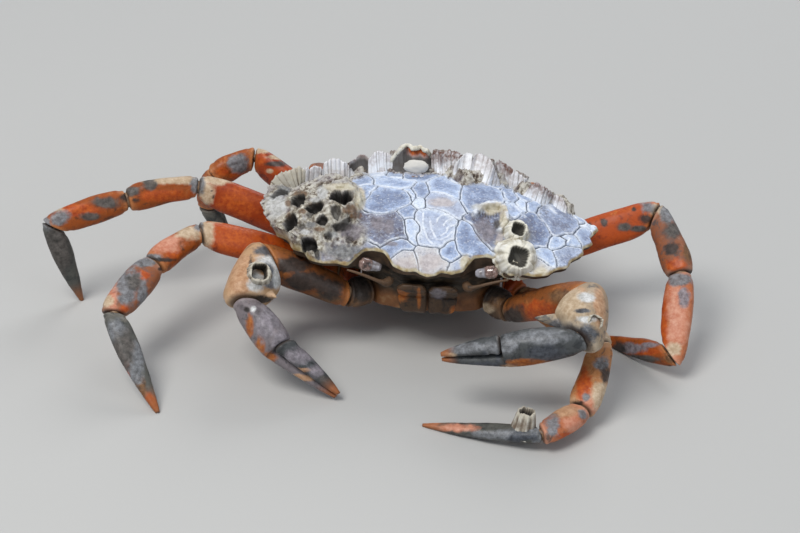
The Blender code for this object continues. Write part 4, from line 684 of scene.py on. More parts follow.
class Finish:
    """A material whose colour, roughness and relief are built from nodes."""

    def __init__(self, name, roughness, specular=0.5, coat=0.0, coat_roughness=0.2):
        self.material = bpy.data.materials.new(name)
        self.material.use_nodes = True
        self.tree = self.material.node_tree
        self.shader = self.tree.nodes["Principled BSDF"]
        for socket, value in (("Roughness", roughness), ("Specular IOR Level", specular), ("Coat Weight", coat),
                              ("Coat Roughness", coat_roughness)):
            self.shader.inputs[socket].default_value = value
        self.place = self.node("ShaderNodeTexCoord").outputs["Object"]

    def node(self, kind, **settings):
        made = self.tree.nodes.new(kind)
        for key, value in settings.items():
            setattr(made, key, value)
        return made

    def feed(self, socket, value):
        if isinstance(value, bpy.types.NodeSocket):
            self.tree.links.new(value, socket)
        elif isinstance(value, tuple) and len(value) == 3 and socket.type == "RGBA":
            socket.default_value = (*value, 1.0)
        else:
            socket.default_value = value

    def lumps(self, size, detail=4.0, offset=(0.0, 0.0, 0.0), distortion=0.0, rough=0.55, stretch=(1.0, 1.0, 1.0)):
        """Noise whose lumps are about a size in millimetres."""
        mapping = self.node("ShaderNodeMapping")
        self.feed(mapping.inputs["Vector"], self.place)
        mapping.inputs["Location"].default_value = offset
        mapping.inputs["Scale"].default_value = stretch
        made = self.node("ShaderNodeTexNoise")
        self.feed(made.inputs["Vector"], mapping.outputs["Vector"])
        for socket, value in (("Scale", 1 / (size * MM)), ("Detail", detail), ("Roughness", rough),
                              ("Distortion", distortion)):
            made.inputs[socket].default_value = value
        return made.outputs["Fac"]

    def value(self, name):
        return self.node("ShaderNodeAttribute", attribute_name=name).outputs["Fac"]

    def ramp(self, fac, stops):
        made = self.node("ShaderNodeValToRGB")
        self.feed(made.inputs["Fac"], fac)
        parts = made.color_ramp.elements
        while len(parts) > len(stops):
            parts.remove(parts[-1])
        while len(parts) < len(stops):
            parts.new(1.0)
        for part, (at, colour) in zip(parts, stops):
            part.position = at
            part.color = (*colour, 1.0) if isinstance(colour, tuple) else (colour, colour, colour, 1.0)
        return made.outputs["Color"]

    def mix(self, fac, first, second):
        made = self.node("ShaderNodeMix", data_type="RGBA")
        self.feed(made.inputs[0], fac)
        self.feed(made.inputs[6], first)
        self.feed(made.inputs[7], second)
        return made.outputs[2]

    def math(self, kind, first, second, clamp=True):
        made = self.node("ShaderNodeMath", operation=kind, use_clamp=clamp)
        self.feed(made.inputs[0], first)
        self.feed(made.inputs[1], second)
        return made.outputs[0]

    def times(self, first, second, clamp=True):
        return self.math("MULTIPLY", first, second, clamp)

    def plus(self, first, second, clamp=True):
        return self.math("ADD", first, second, clamp)

    def minus(self, first, second):
        return self.math("SUBTRACT", first, second)

    def relief(self, height, distance, strength=1.0):
        made = self.node("ShaderNodeBump")
        self.feed(made.inputs["Height"], height)
        made.inputs["Distance"].default_value = distance * MM
        made.inputs["Strength"].default_value = strength
        self.tree.links.new(made.outputs["Normal"], self.shader.inputs["Normal"])

    def tints(self, base, kinds, strength=0.9, shift=(0.0, 0.0, 0.0)):
        """Lays the tinted patches over a colour, each with a grainy edge and two tones."""
        grain = self.lumps(1.3, 8.0, shift, rough=0.75)
        tone = self.ramp(self.lumps(1.2, 7.0, (0.02, 0.04, 0.01), rough=0.72), [(0.36, 0.0), (0.64, 1.0)])
        for kind in kinds:
            fac = self.plus(self.times(self.value(kind), 0.75), self.times(grain, 1.1), clamp=False)
            fac = self.ramp(self.minus(fac, 0.45), [(0.28, 0.0), (0.72, strength)])
            base = self.mix(fac, base, self.mix(tone, *TINTS[kind]))
        return base

    def colour(self, value):
        self.feed(self.shader.inputs["Base Color"], value)

    def rough(self, value):
        self.feed(self.shader.inputs["Roughness"], value)


def crust_finish():
    """Blue-grey lime plates with pale rims and dark grooves, crumbly brown and grey rock with painted shade in its
    crevices, a cream edge, and painted shade in the holes and under the rim.
    """
    f = Finish("crust", 0.6, specular=0.4)
    tone = f.plus(f.times(f.lumps(1.9, 8.0, rough=0.68), 0.85), f.value("light"), clamp=False)
    tone = f.minus(tone, 0.42)
    base = f.ramp(tone, [(0.1, (0.12, 0.15, 0.25)), (0.32, (0.26, 0.33, 0.50)), (0.5, (0.44, 0.54, 0.74)),
                         (0.75, (0.70, 0.78, 0.88))])
    warm = f.ramp(f.lumps(2.2, 5.0, (0.02, 0.0, 0.0)), [(0.3, (0.36, 0.29, 0.25)), (0.5, (0.52, 0.46, 0.42)),
                                                        (0.72, (0.62, 0.58, 0.51))])
    base = f.mix(f.value("warm"), base, warm)
    speck = f.ramp(f.lumps(1.1, 6.0, (0.05, 0.0, 0.0), rough=0.72), [(0.44, 1.0), (0.53, 0.0)])
    base = f.mix(f.times(speck, f.times(f.value("specks"), 0.85)), base, (0.085, 0.07, 0.085))
    fine = f.ramp(f.lumps(0.5, 6.0, (0.0, 0.05, 0.0), rough=0.75), [(0.36, 0.6), (0.47, 0.0)])
    base = f.mix(fine, base, (0.11, 0.12, 0.18))
    chalk = f.ramp(f.lumps(0.6, 7.0, (0.04, 0.0, 0.03), rough=0.75), [(0.54, 0.0), (0.66, 0.6)])
    base = f.mix(chalk, base, (0.80, 0.84, 0.90))
    rim = f.times(f.value("rim"), f.ramp(f.lumps(1.0, 4.0, (0.0, 0.03, 0.0), rough=0.65), [(0.34, 0.12), (0.6, 0.9)]))
    base = f.mix(rim, base, (0.82, 0.86, 0.92))
    base = f.mix(f.value("groove"), base, (0.065, 0.075, 0.095))
    stone = f.plus(f.times(f.lumps(1.1, 9.0, (0.0, 0.0, 0.04), rough=0.72), 0.95),
                  f.times(f.value("shade"), 0.30))
    rock = f.ramp(stone, [(0.50, (0.018, 0.011, 0.007)), (0.59, (0.075, 0.050, 0.033)), (0.67, (0.21, 0.175, 0.135)),
                          (0.80, (0.60, 0.575, 0.51))])
    lilac = f.ramp(f.lumps(3.2, 3.0, (0.08, 0.0, 0.0)), [(0.45, 0.0), (0.6, 0.45)])
    lilacs = f.ramp(f.lumps(0.9, 5.0, rough=0.7), [(0.4, (0.13, 0.10, 0.12)), (0.6, (0.36, 0.34, 0.38))])
    rock = f.mix(lilac, rock, lilacs)
    base = f.mix(f.value("rock"), base, rock)
    lip = f.ramp(f.lumps(1.0, 5.0, (0.02, 0.0, 0.02), rough=0.65),
                 [(0.38, (0.085, 0.062, 0.038)), (0.5, (0.33, 0.295, 0.225)), (0.62, (0.70, 0.68, 0.60))])
    base = f.mix(f.value("lip"), base, lip)
    base = f.tints(base, ("rose", "mauve", "grey", "white", "cream", "brown", "amber", "dark"), 0.8)
    cream = f.ramp(f.lumps(1.5, 5.0, (0.0, 0.0, 0.02)),
                   [(0.32, (0.34, 0.29, 0.19)), (0.5, (0.56, 0.52, 0.41)), (0.7, (0.68, 0.66, 0.58))])
    base = f.mix(f.value("cream"), base, cream)
    edge = f.ramp(f.lumps(1.6, 5.0, (0.03, 0.03, 0.0)),
                  [(0.3, (0.22, 0.13, 0.045)), (0.48, (0.42, 0.33, 0.17)), (0.68, (0.64, 0.59, 0.44))])
    base = f.mix(f.value("edge"), base, edge)
    # Painted shade: the inside of the holes is nearly black.
    base = f.mix(f.value("deep"), base, (0.014, 0.012, 0.010))
    # Painted shade: the underside and the wall under the rim are dark brown.
    under = f.ramp(f.lumps(2.5, 5.0), [(0.35, (0.025, 0.015, 0.008)), (0.7, (0.10, 0.06, 0.035))])
    base = f.mix(f.value("under"), base, under)
    f.colour(base)
    f.rough(f.ramp(f.lumps(2.2, 4.0, (0.06, 0.0, 0.0)), [(0.3, 0.42), (0.7, 0.75)]))
    grain = f.plus(f.lumps(0.5, 8.0, rough=0.75), f.times(f.lumps(0.16, 2.0), 0.4), clamp=False)
    grain = f.times(grain, f.plus(f.times(f.value("rock"), 1.6), 0.55, clamp=False), clamp=False)
    f.relief(grain, 0.16, 0.9)
    return f.material


def barnacle_finish(name, low, middle, high, tip, hole, blotch):
    """Ribbed lime walls: low, middle and high colours of the ribs, the mouth's edge, the painted shade inside the
    hole and its stains.
    """
    f = Finish(name, 0.7, specular=0.35)
    ribs = f.plus(f.times(f.value("rib"), 0.55), f.times(f.lumps(1.1, 5.0, rough=0.65), 0.5))
    base = f.ramp(ribs, [(0.2, low), (0.5, middle), (0.78, high)])
    stain = f.ramp(f.lumps(2.1, 5.0, (0.07, 0.0, 0.0)), [(0.5, 0.0), (0.62, 1.0)])
    base = f.mix(f.times(stain, f.value("stain")), base, blotch)
    top = f.ramp(f.lumps(0.8, 3.0, (0.0, 0.05, 0.0)), [(0.35, 0.35), (0.6, 1.0)])
    base = f.mix(f.times(f.value("tip"), top), base, tip)
    # Painted shade inside the hole.
    base = f.mix(f.value("deep"), base, hole)
    flesh = f.ramp(f.lumps(0.9, 3.0), [(0.4, (0.45, 0.10, 0.015)), (0.6, (0.24, 0.05, 0.01))])
    base = f.mix(f.value("flesh"), base, flesh)
    base = f.mix(f.value("lid"), base, (0.62, 0.60, 0.56))
    f.colour(base)
    fine = f.plus(f.lumps(0.45, 6.0, rough=0.7), f.times(f.value("rib"), 0.4), clamp=False)
    f.relief(fine, 0.12, 0.7)
    return f.material


def limb_finish(kind, index):
    """Damp shell with mud in patches, paler ends and a fine grain."""
    pale, middle, dark, mud, share = FINISHES[kind]
    f = Finish(f"shell_{kind}", 0.5, specular=0.28, coat=0.10, coat_roughness=0.3)
    shift = (0.031 * index, 0.017 * index, 0.0)
    tone = f.lumps(3.4, 8.0, shift, distortion=0.5, rough=0.68)
    base = f.ramp(tone, [(0.34, dark), (0.46, middle), (0.58, middle), (0.74, pale)])
    base = f.mix(f.times(f.value("ends"), 0.8), base, pale)
    speck = f.ramp(f.lumps(0.7, 3.0, shift, rough=0.7), [(0.33, 1.0), (0.42, 0.0)])
    base = f.mix(f.times(speck, 0.55), base, dark)
    patch = f.ramp(f.lumps(3.0, 6.0, (0.0, 0.029 * index, 0.02), distortion=0.8, rough=0.62),
                   [(0.66 - 0.3 * share, 0.0), (0.74 - 0.3 * share, 1.0)])
    patch = f.math("MAXIMUM", patch, f.value("mud"))
    earth = f.mix(f.lumps(0.9, 4.0), mud, tuple(c * 0.45 for c in mud))
    base = f.mix(f.times(patch, 0.85), base, earth)
    base = f.tints(base, list(TINTS)[1:], 0.95, shift)
    base = f.mix(f.value("joint"), base, (0.05, 0.03, 0.02))
    base = f.mix(f.value("tip"), base, (0.30, 0.10, 0.03))
    f.colour(base)
    f.rough(f.ramp(f.plus(f.lumps(1.6, 5.0, shift), f.times(patch, 0.12)), [(0.3, 0.34), (0.75, 0.7)]))
    f.relief(f.plus(f.lumps(0.6, 6.0, shift, rough=0.7), f.times(patch, 0.5), clamp=False), 0.13, 0.7)
    return f.material


def plain_finish(name, stops, size, roughness):
    f = Finish(name, roughness)
    f.colour(f.ramp(f.lumps(size, 5.0, rough=0.62), stops))
    f.relief(f.lumps(0.5, 5.0, rough=0.65), 0.08, 0.6)
    return f.material


# Shape of the shield.
def rim(y):
    return RIM_Z - REAR_DROP * np.maximum(0.0, (y - REAR_START) / (HALF_LENGTH - REAR_START)) ** 1.2


SMOOTH_POLAR = np.array([(math.atan2(x, -y), math.hypot(x, y)) for x, y in HALF_SMOOTH])


def smooth_radius(angle):
    return np.interp(np.abs(angle), SMOOTH_POLAR[:, 0], SMOOTH_POLAR[:, 1])


def margin_radius(angle):
    """Distance from the centre to the toothed edge."""
    edge = np.array(HALF_MARGIN + [(-x, y) for x, y in reversed(HALF_MARGIN[1:-1])])
    fine = []
    for a, b in zip(edge, np.roll(edge, -1, axis=0)):
        for t in np.linspace(0, 1, 12, endpoint=False):
            fine.append(a + (b - a) * t)
    fine = np.array(fine)
    polar = np.arctan2(fine[:, 0], -fine[:, 1])
    order = np.argsort(polar)
    return np.interp(angle, polar[order], np.hypot(fine[:, 0], fine[:, 1])[order], period=2 * math.pi)


def mound(x, y):
    return MOUND_HEIGHT * smooth(MOUND_FADE[1], MOUND_FADE[0], in_oval(x, y, MOUND_MIDDLE, MOUND_HALF))


def shield_top(x, y):
    share = np.minimum(np.hypot(x, y) / smooth_radius(np.arctan2(x, -y)), 1.0)
    return rim(y) + DOME * (1 - share ** DOME_POWER) + mound(x, y)


def shield_normal(x, y, step=0.5):
    slope_x = (shield_top(x + step, y) - shield_top(x - step, y)) / (2 * step)
    slope_y = (shield_top(x, y + step) - shield_top(x, y - step)) / (2 * step)
    normal = np.stack([-slope_x, -slope_y, np.ones_like(slope_x)], -1)
    return normal / np.linalg.norm(normal, axis=-1, keepdims=True)


def camera_axes():
    """The camera's right, up and backward directions."""
    a, e, r = (math.radians(v) for v in (CAMERA_SIDE, CAMERA_TILT, CAMERA_ROLL))
    back = np.array([math.sin(a) * math.cos(e), -math.cos(a) * math.cos(e), math.sin(e)])
    right = unit(np.cross(-back, (0, 0, 1)))
    up = np.cross(right, -back)
    return right * math.cos(r) + up * math.sin(r), up * math.cos(r) - right * math.sin(r), back


def rays(seen):
    """The camera's place and the directions of points that it sees."""
    across, upward, back = camera_axes()
    scale = LENS / SENSOR * SEEN_SIZE[0]
    seen = np.asarray(seen, float)
    way = -back + np.outer((seen[:, 0] - SEEN_SIZE[0] / 2) / scale, across) \
        - np.outer((seen[:, 1] - SEEN_SIZE[1] / 2) / scale, upward)
    return np.array(CAMERA_TARGET) + back * CAMERA_FAR, way


def as_seen(points):
    """Where the camera sees points."""
    across, upward, back = camera_axes()
    away = points - np.array(CAMERA_TARGET) - back * CAMERA_FAR
    scale = LENS / SENSOR * SEEN_SIZE[0] / -(away @ back)
    return SEEN_SIZE[0] / 2 + scale * (away @ across), SEEN_SIZE[1] / 2 - scale * (away @ upward)


def at_depth(seen, y):
    """Points that the camera sees at given places, at a given distance along the crab."""
    eye, way = rays(seen)
    return eye + way * ((y - eye[1]) / way[:, 1])[:, None]


def on_shield(seen, lift=0.0):
    """Places on the shield, as x and y, of points by where the camera sees them."""
    eye, way = rays(seen)
    height = np.full(len(way), 26.0)
    for _ in range(60):
        spot = eye + way * ((height - eye[2]) / way[:, 2])[:, None]
        height += 0.5 * (shield_top(spot[:, 0], spot[:, 1]) + lift - height)
    return spot[:, :2]


def held(x, y):
    """Places kept on the shield."""
    share = np.hypot(x, y) / smooth_radius(np.arctan2(x, -y))
    scale = np.minimum(1.0, 0.93 / np.maximum(share, 1e-6))
    return x * scale, y * scale


def row_feet(seen):
    """Feet of the back row by where they are seen, no further back than the row stands."""
    foot = on_shield(seen)
    far = np.interp(foot[:, 0], *np.transpose(ROW_LINE))
    near = at_depth(seen, np.minimum(foot[:, 1], far))
    return np.stack(held(near[:, 0], near[:, 1]), -1)


def crest_at(seen, y):
    """Points seen at given places at a given distance along the crab, further back where they would be too high."""
    eye, way = rays(seen)
    high, low = at_depth(seen, y), eye + way * ((ROW_TOP - eye[2]) / way[:, 2])[:, None]
    return np.where(high[:, 2:] > ROW_TOP, low, high)


def edge_distance(edges, x, y):
    """Distance from each place to the nearest of some straight edges."""
    near = np.full(len(x), FAR_AWAY)
    for (ax, ay), (bx, by) in edges:
        dx, dy = bx - ax, by - ay
        along = np.clip(((x - ax) * dx + (y - ay) * dy) / (dx * dx + dy * dy), 0, 1)
        near = np.minimum(near, np.hypot(x - ax - along * dx, y - ay - along * dy))
    return near


def line_distance(points, x, y):
    """Distance from each place to an open line."""
    return edge_distance(zip(points, points[1:]), x, y)


def depth_in(corners, x, y, margin):
    """How far inside a flat outline each place lies, worked out only near it."""
    low, high = corners.min(0) - margin, corners.max(0) + margin
    use = np.flatnonzero((x > low[0]) & (x < high[0]) & (y > low[1]) & (y < high[1]))
    edges = list(zip(corners, np.roll(corners, -1, axis=0)))
    within = np.zeros(len(use), bool)
    for (ax, ay), (bx, by) in edges:
        crosses = (ay > y[use]) != (by > y[use])
        within ^= crosses & (x[use] < (bx - ax) * (y[use] - ay) / ((by - ay) or 1e-9) + ax)
    near = edge_distance(edges, x[use], y[use])
    deep = np.full(len(x), -FAR_AWAY)
    deep[use] = np.where(within, near, -near)
    return deep


def in_oval(x, y, middle, half):
    """Distance from the middle of an oval, 1 on its edge."""
    return np.hypot((x - middle[0]) / half[0], (y - middle[1]) / half[1])


def body_mass(x, y):
    """Thickness of the rough mass."""
    mass = MASS_HEIGHT * smooth(1.12, 0.70, in_oval(x, y, MASS_MIDDLE, MASS_HALF)) * smooth(2.5, -2.0, y)
    for bx, by, radius, high in BULGES:
        mass = (mass ** 4 + (high * smooth(1.0, 0.25, np.hypot(x - bx, y - by) / radius)) ** 4) ** 0.25
    return mass


def overhang(x, y, reach):
    """How far the mass hangs out over the shield's right edge."""
    where = smooth(-20.0, -15.0, y) * smooth(5.0, 0.5, y) * smooth(-22.0, -27.0, x)
    out = OVERHANG * where * smooth(4.2, 0.6, reach) * (0.55 + 0.45 * smooth(0.0, 0.6, reach))
    return (np.stack([x, y, np.zeros_like(x)], -1) / np.hypot(x, y)[:, None]) * out[:, None]


def on_mass(seen, lift=0.0):
    """Places on the shield, as x and y, of points of the rough mass by where the camera sees them."""
    x, y = (grid.ravel() for grid in np.meshgrid(np.arange(-36, -12, 0.12), np.arange(-25, 9, 0.12)))
    reach = margin_radius(np.arctan2(x, -y)) - np.hypot(x, y)
    keep = reach > 0.02
    x, y, reach = x[keep], y[keep], reach[keep]
    spots = np.stack([x, y, shield_top(x, y)], -1) + overhang(x, y, reach)
    spots += shield_normal(x, y) * ((body_mass(x, y) + lift) * smooth(-0.05, 0.7, reach))[:, None]
    across, down = as_seen(spots)
    close = spots @ camera_axes()[2]
    found = []
    for px, py in seen:
        away = np.hypot(across - px, down - py)
        near = np.flatnonzero(away < away.min() + 0.7)
        pick = near[np.argmax(close[near])]
        found.append((x[pick], y[pick]))
    return np.array(found)


def plates(x, y):
    """How far inside its plate each place lies, and the plate's lightness, warmth, specks and random number."""
    best, second = np.full(len(x), -FAR_AWAY), np.full(len(x), -FAR_AWAY)
    which = np.zeros(len(x), int)
    seen = (depth_in(on_shield(corners), x, y, 6) for *_, corners in PLATES_SEEN)
    others = (size - np.hypot(x - px, y - py) for px, py, size, *_ in PLATES)
    for k, deep in enumerate(itertools.chain(seen, others)):
        first = deep > best
        second = np.where(first, best, np.maximum(second, deep))
        best = np.where(first, deep, best)
        which = np.where(first, k, which)
    looks = [look[:3] for look in PLATES_SEEN] + [look[3:] for look in PLATES]
    random = np.array([lattice(k * 7 + 3, 5, 9, 1) for k in range(len(looks))])
    inside = np.maximum(np.minimum((best - second) / 2, best + PLATE_REACH), 0.0)
    return inside, *np.array(looks)[which].T, random[which]


def crust(x, y):
    """Height of the crust over the smooth shield, and the values that colour it."""
    flat = np.stack([x, y, np.zeros_like(x)], -1)
    wx = x + 0.22 * noise(flat, 1.6, 2, 5) + 0.05 * noise(flat, 0.5, 2, 6)
    wy = y + 0.22 * noise(flat, 1.6, 2, 7) + 0.05 * noise(flat, 0.5, 2, 8)
    inside, light, warm, specks, random = plates(wx, wy)

    # Where the rough mass, the barnacles' feet and the bank behind the back row cover the plates.
    rock = smooth(1.18, 0.92, in_oval(x, y, MASS_MIDDLE, MASS_HALF) + 0.10 * noise(flat, 3.0, 2, 20))
    rock = np.maximum(rock, smooth(0.2, 0.8, body_mass(x, y)))
    rock = np.maximum(rock, 0.8 * smooth(1.15, 0.7, in_oval(x, y, (-18.5, -19.0), (5.6, 5.6))))
    rock = np.maximum(rock, 0.9 * smooth(1.2, 0.85, in_oval(x, y, (-24.5, 5.6), (9.0, 3.6))))
    ragged = np.clip(rock * (1.15 + 0.7 * noise(flat, 1.6, 3, 21)), 0, 1)
    feet, cream = np.zeros_like(x), np.zeros_like(x)
    for kind, bx, by, radius, *_ in BARNACLES:
        near = np.exp(-np.maximum(np.hypot(x - bx, y - by) - radius * 0.9, 0) / 0.5)
        feet = np.maximum(feet, near)
        if kind == "margin":
            cream = np.maximum(cream, near)
    lines = [row_feet(bottom) for bottom, *_ in ROW]
    before = np.min([line_distance(line, x, y) for line in lines], axis=0)
    behind = np.min([line_distance(line + np.array([0.0, BANK_BEHIND]), x, y) for line in lines], axis=0)
    feet = np.maximum(feet, 0.4 * np.exp(-before / 0.3))
    bank = BANK_HEIGHT * smooth(2.0, 0.6, behind) * (1 + 0.35 * noise(flat, 2.0, 3, 46))
    bank = bank * np.maximum(smooth(-9.5, -11.0, x), smooth(1.5, 3.0, x))
    ragged = np.maximum(ragged, smooth(2.4, 1.9, behind))

    # Holes with raised walls and painted shade inside them, darker in deeper holes, and ridges.
    pale, wall, hole, pit_shade, lip, ridge = (np.zeros_like(x) for _ in range(6))
    for lift, width, depth, seen in PITS:
        deep = depth_in(on_mass(seen, lift), wx, wy, 5) + 0.2
        wall = np.maximum(wall, lift * smooth(-2.1 * width, -0.45 * width, deep))
        hole = np.maximum(hole, (depth + 0.3 * lift) * smooth(-0.06, 0.5, deep))
        pit_shade = np.maximum(pit_shade, smooth(-0.05, 0.20, deep) * min(1.0, 0.3 + depth / 2.2))
        lip = np.maximum(lip, smooth(-1.2 * width, -0.3 * width, deep) * (1 - smooth(-0.05, 0.1, deep)))
    for lift, half, light_up, seen in RIDGES:
        away = line_distance(on_shield(seen, lift * 0.5), wx, wy)
        ridge = np.maximum(ridge, lift * smooth(half, 0.45 * half, away))
        pale = np.maximum(pale, light_up * smooth(1.05 * half, 0.6 * half, away))

    # Plates stand over their grooves, with a raised rim, a sunken middle and faint growth lines.
    height = 0.34 * smooth(0.03, 0.30, inside) + 0.12 * np.exp(-((inside - 0.30) / 0.15) ** 2)
    height -= 0.16 * smooth(0.45, 2.2, inside)
    growth = np.sin(2 * math.pi * inside / 0.55 + 2.8 * noise(flat, 2.4, 2, 31))
    height += 0.02 * growth * smooth(0.5, 1.0, inside) * random
    height += 0.07 * noise(flat, 1.9, 3, 33) * (1 - ragged)
    height *= 1 - 0.9 * ragged
    lumps = noise(flat, 2.4, 4, 41)
    crumbs = 1 - 2 * np.abs(noise(flat, 1.3, 3, 42))
    ridged = 1 - 2 * np.abs(noise(flat, 0.7, 3, 45))
    height += ragged * (1 - 0.55 * lip) * (0.35 + 0.60 * lumps + 0.42 * crumbs + 0.26 * ridged)
    height += body_mass(x, y) * (1 + 0.10 * lumps) + np.maximum(wall * (1 + 0.10 * crumbs), bank) - hole + ridge
    height += 0.40 * feet * (0.7 + 0.5 * noise(flat, 1.3, 2, 43)) + 0.03 * noise(flat, 0.6, 3, 44)
    rim_line = np.clip(smooth(0.07, 0.14, inside) - smooth(0.26, 0.50, inside), 0, 1) * (1 - ragged)
    values = {
        "rim": np.maximum(rim_line, pale), "groove": (1 - smooth(0.04, 0.16, inside)) * (1 - ragged) * (1 - pale),
        "warm": warm * (0.8 + 0.5 * noise(flat, 3.0, 2, 51)),
        "specks": specks * (0.8 + 0.8 * noise(flat, 2.0, 2, 52)),
        "rock": ragged + 0.5 * feet * (1 - cream) * (1 - pale),
        "shade": 0.35 + 0.4 * lumps + 0.45 * crumbs + 0.45 * ridged,
        "lip": lip * (0.75 + 0.5 * noise(flat, 1.2, 3, 53)), "deep": pit_shade, "cream": cream}
    values = {key: np.clip(value, 0, 1) for key, value in values.items()}
    return height, {**values, "light": light - 0.16 * smooth(0.4, 1.8, inside)}


def softened(values, reach, spread):
    """A closed run of numbers, each averaged with its neighbours."""
    kernel = np.exp(-0.5 * (np.arange(-reach, reach + 1) / spread) ** 2)
    return np.convolve(np.concatenate([values[-reach:], values, values[:reach]]), kernel / kernel.sum(), "valid")


def shell():
    """The shield's upper face, its toothed edge and its underside."""
    columns, rows = SHELL_MESH
    angle = turn(columns)
    edge = softened(margin_radius((angle + math.pi) % (2 * math.pi) - math.pi), 5, 2.0)
    ring = np.stack([np.cos(angle) * 4, np.sin(angle) * 4, 0 * angle], -1)
    edge = edge + 0.16 * noise(ring * 6, 1.6, 3, 3) - 0.1
    share = np.concatenate([[0.004], np.linspace(0.012, 1.0, rows - 1)])
    radius = share[:, None] * edge
    x, y = (radius * np.sin(angle)).ravel(), (-radius * np.cos(angle)).ravel()
    height, values = crust(x, y)
    reach = np.tile(edge, rows) * (1 - np.repeat(share, columns))
    height = height * smooth(-0.05, 0.7, reach) + 0.16 * np.exp(-((reach - 0.35) / 0.3) ** 2)
    base = np.stack([x, y, shield_top(x, y) - 0.5 * np.exp(-reach / 0.35)], -1)
    points = base + shield_normal(x, y) * height[:, None] + overhang(x, y, reach)
    front = smooth(6.0, -4.0, y)
    values["edge"] = smooth(0.42, 0.12, reach + 0.15 * noise(points, 1.2, 2, 61)) * (0.35 + 0.65 * front)
    last = points[-columns:]
    # Painted shade: the edge rings darken step by step under the rim, and the underside is dark all over.
    rings = [(last * (inset, inset, 1.0) - (0.0, 0.0, drop), dark) for drop, inset, dark in EDGE_RINGS]
    for part, drop in UNDER_RINGS:
        px, py = edge * part * np.sin(angle), -edge * part * np.cos(angle)
        level = np.minimum(rim(py) - drop + 0.06 * noise(ring * 9, 1.2, 2, 4), last[:, 2] - 0.3)
        rings.append((np.stack([px, py, level], -1), 1.0))
    under_shade = np.repeat([dark for _, dark in rings], columns)
    values = {key: np.concatenate([value, 1 - under_shade if key == "edge" else 0 * under_shade])
              for key, value in values.items()}
    form = Form()
    form.sleeve(np.concatenate([points] + [ring for ring, _ in rings]), columns,
                under=np.concatenate([0 * x, under_shade]), **values)
    form.tint(SHELL_PATCHES)
    form.make("shell", crust_finish(), "crust", "carapace")


def barnacle(form, foot, axis, radius, height, mouth, seed, kind):
    """One hollow, ribbed barnacle added to a form."""
    columns, outer, inner = BARNACLE_MESH
    walls, strength, jagged, lean_in = BARNACLE_KINDS[kind]
    side = unit(np.cross(axis, (0, 1, 0.2)))
    angle = turn(columns)
    towards = around(angle, side, np.cross(axis, side))
    round_trip = np.stack([np.cos(angle), np.sin(angle), np.full(columns, seed * 3.7)], -1)
    draw = np.random.default_rng(seed + 11)
    bend = angle + 0.35 * noise(round_trip, 0.8, 2, seed)
    ribs = np.abs(np.sin(bend * walls / 2 + draw.uniform(0, 6)))
    ribs = 0.7 * ribs + 0.3 * np.abs(np.sin(bend * walls * 1.27 + 1.0))
    seams = np.zeros(columns)
    for k in range(WALL_PLATES):
        at = (k + draw.uniform(-0.25, 0.25)) * 2 * math.pi / WALL_PLATES + seed
        seams = np.maximum(seams, np.exp(-((np.angle(np.exp(1j * (angle - at)))) / 0.07) ** 2))
    lobes = 1 + 0.10 * noise(round_trip, 1.1, 2, seed + 5) + 0.05 * np.cos(2 * (angle - seed))
    top = height + jagged * noise(round_trip, 0.35, 3, seed + 9) - 0.25 * seams
    shape = 1 + 0.10 * np.cos(4 * angle + seed * 1.3) + 0.07 * noise(round_trip, 0.9, 2, seed + 13)
    if kind == "margin":
        shape = 1 - 0.10 * np.cos(4 * angle + 0.25)
    rings = Rings(columns)

    def row(reach, along, **given):
        rings.add(foot + axis * along[:, None] + towards * reach[:, None], **given)

    for v in np.linspace(0, 1, outer):
        flare = 1 - (1 - mouth - 0.12) * v ** lean_in
        reach = radius * flare * lobes * (1 + strength * (ribs - 0.5) * (1 - 0.35 * v) * 2 - 0.05 * seams)
        reach = reach * (1 + 0.14 * (1 - smooth(0.0, 0.18, v)))
        row(reach, -0.7 + (top + 0.7) * v, rib=ribs * (1 - 0.6 * seams), tip=smooth(0.72, 0.98, v),
            stain=0.4 + 0.6 * (1 - v))
    rim_reach = radius * mouth * shape
    row(rim_reach * 1.12, top + 0.05, rib=0.7, tip=1.0, stain=0.4)
    comb = 0.2 * np.sin(bend * 22)
    # Inside the mouth, painted shade grows darker downwards, with darker stripes on the comb.
    for v in np.linspace(0, 1, inner):
        row(rim_reach * (1.0 - 0.55 * v ** 1.6) * (1 + 0.03 * comb), top * (1 - 0.62 * v) - 0.1 * v,
            rib=0.35 + 0.3 * comb, tip=0.5 * (1 - smooth(0, 0.2, v)),
            deep=np.clip(0.92 * smooth(0.05, 0.5, v) + 0.35 * (comb < 0), 0, 0.97))
    points = rings.points()
    bumps = 0.07 * noise(points, 0.9, 3, seed + 17) + 0.12 * noise(points, 2.2, 2, seed + 19) * (kind == "cluster")
    rings.close(form, points + np.tile(towards, (len(points) // columns, 1)) * bumps[:, None])


def lump(form, centre, sizes, seed, **marks):
    """A small rounded, uneven lump."""
    columns, rows = 36, 20
    down = np.linspace(0.02, math.pi - 0.02, rows)
    ball = np.concatenate([around(turn(columns), np.array([math.sin(b), 0, 0]), np.array([0, math.sin(b), 0]))
                           + (0, 0, math.cos(b)) for b in down])
    ball = ball * (1 + 0.16 * noise(ball * 2 + seed, 1.0, 3, seed))[:, None]
    ends = [np.arange(columns), (np.arange(columns) + (rows - 1) * columns)[::-1]]
    form.add(centre + ball * np.array(sizes), grid_faces(rows, columns), ends, **marks)


def shield_axis(x, y, lean_x, lean_y):
    axis = shield_normal(np.array(x, float), np.array(y, float)) + np.array([lean_x, lean_y, 0])
    return axis / np.linalg.norm(axis)


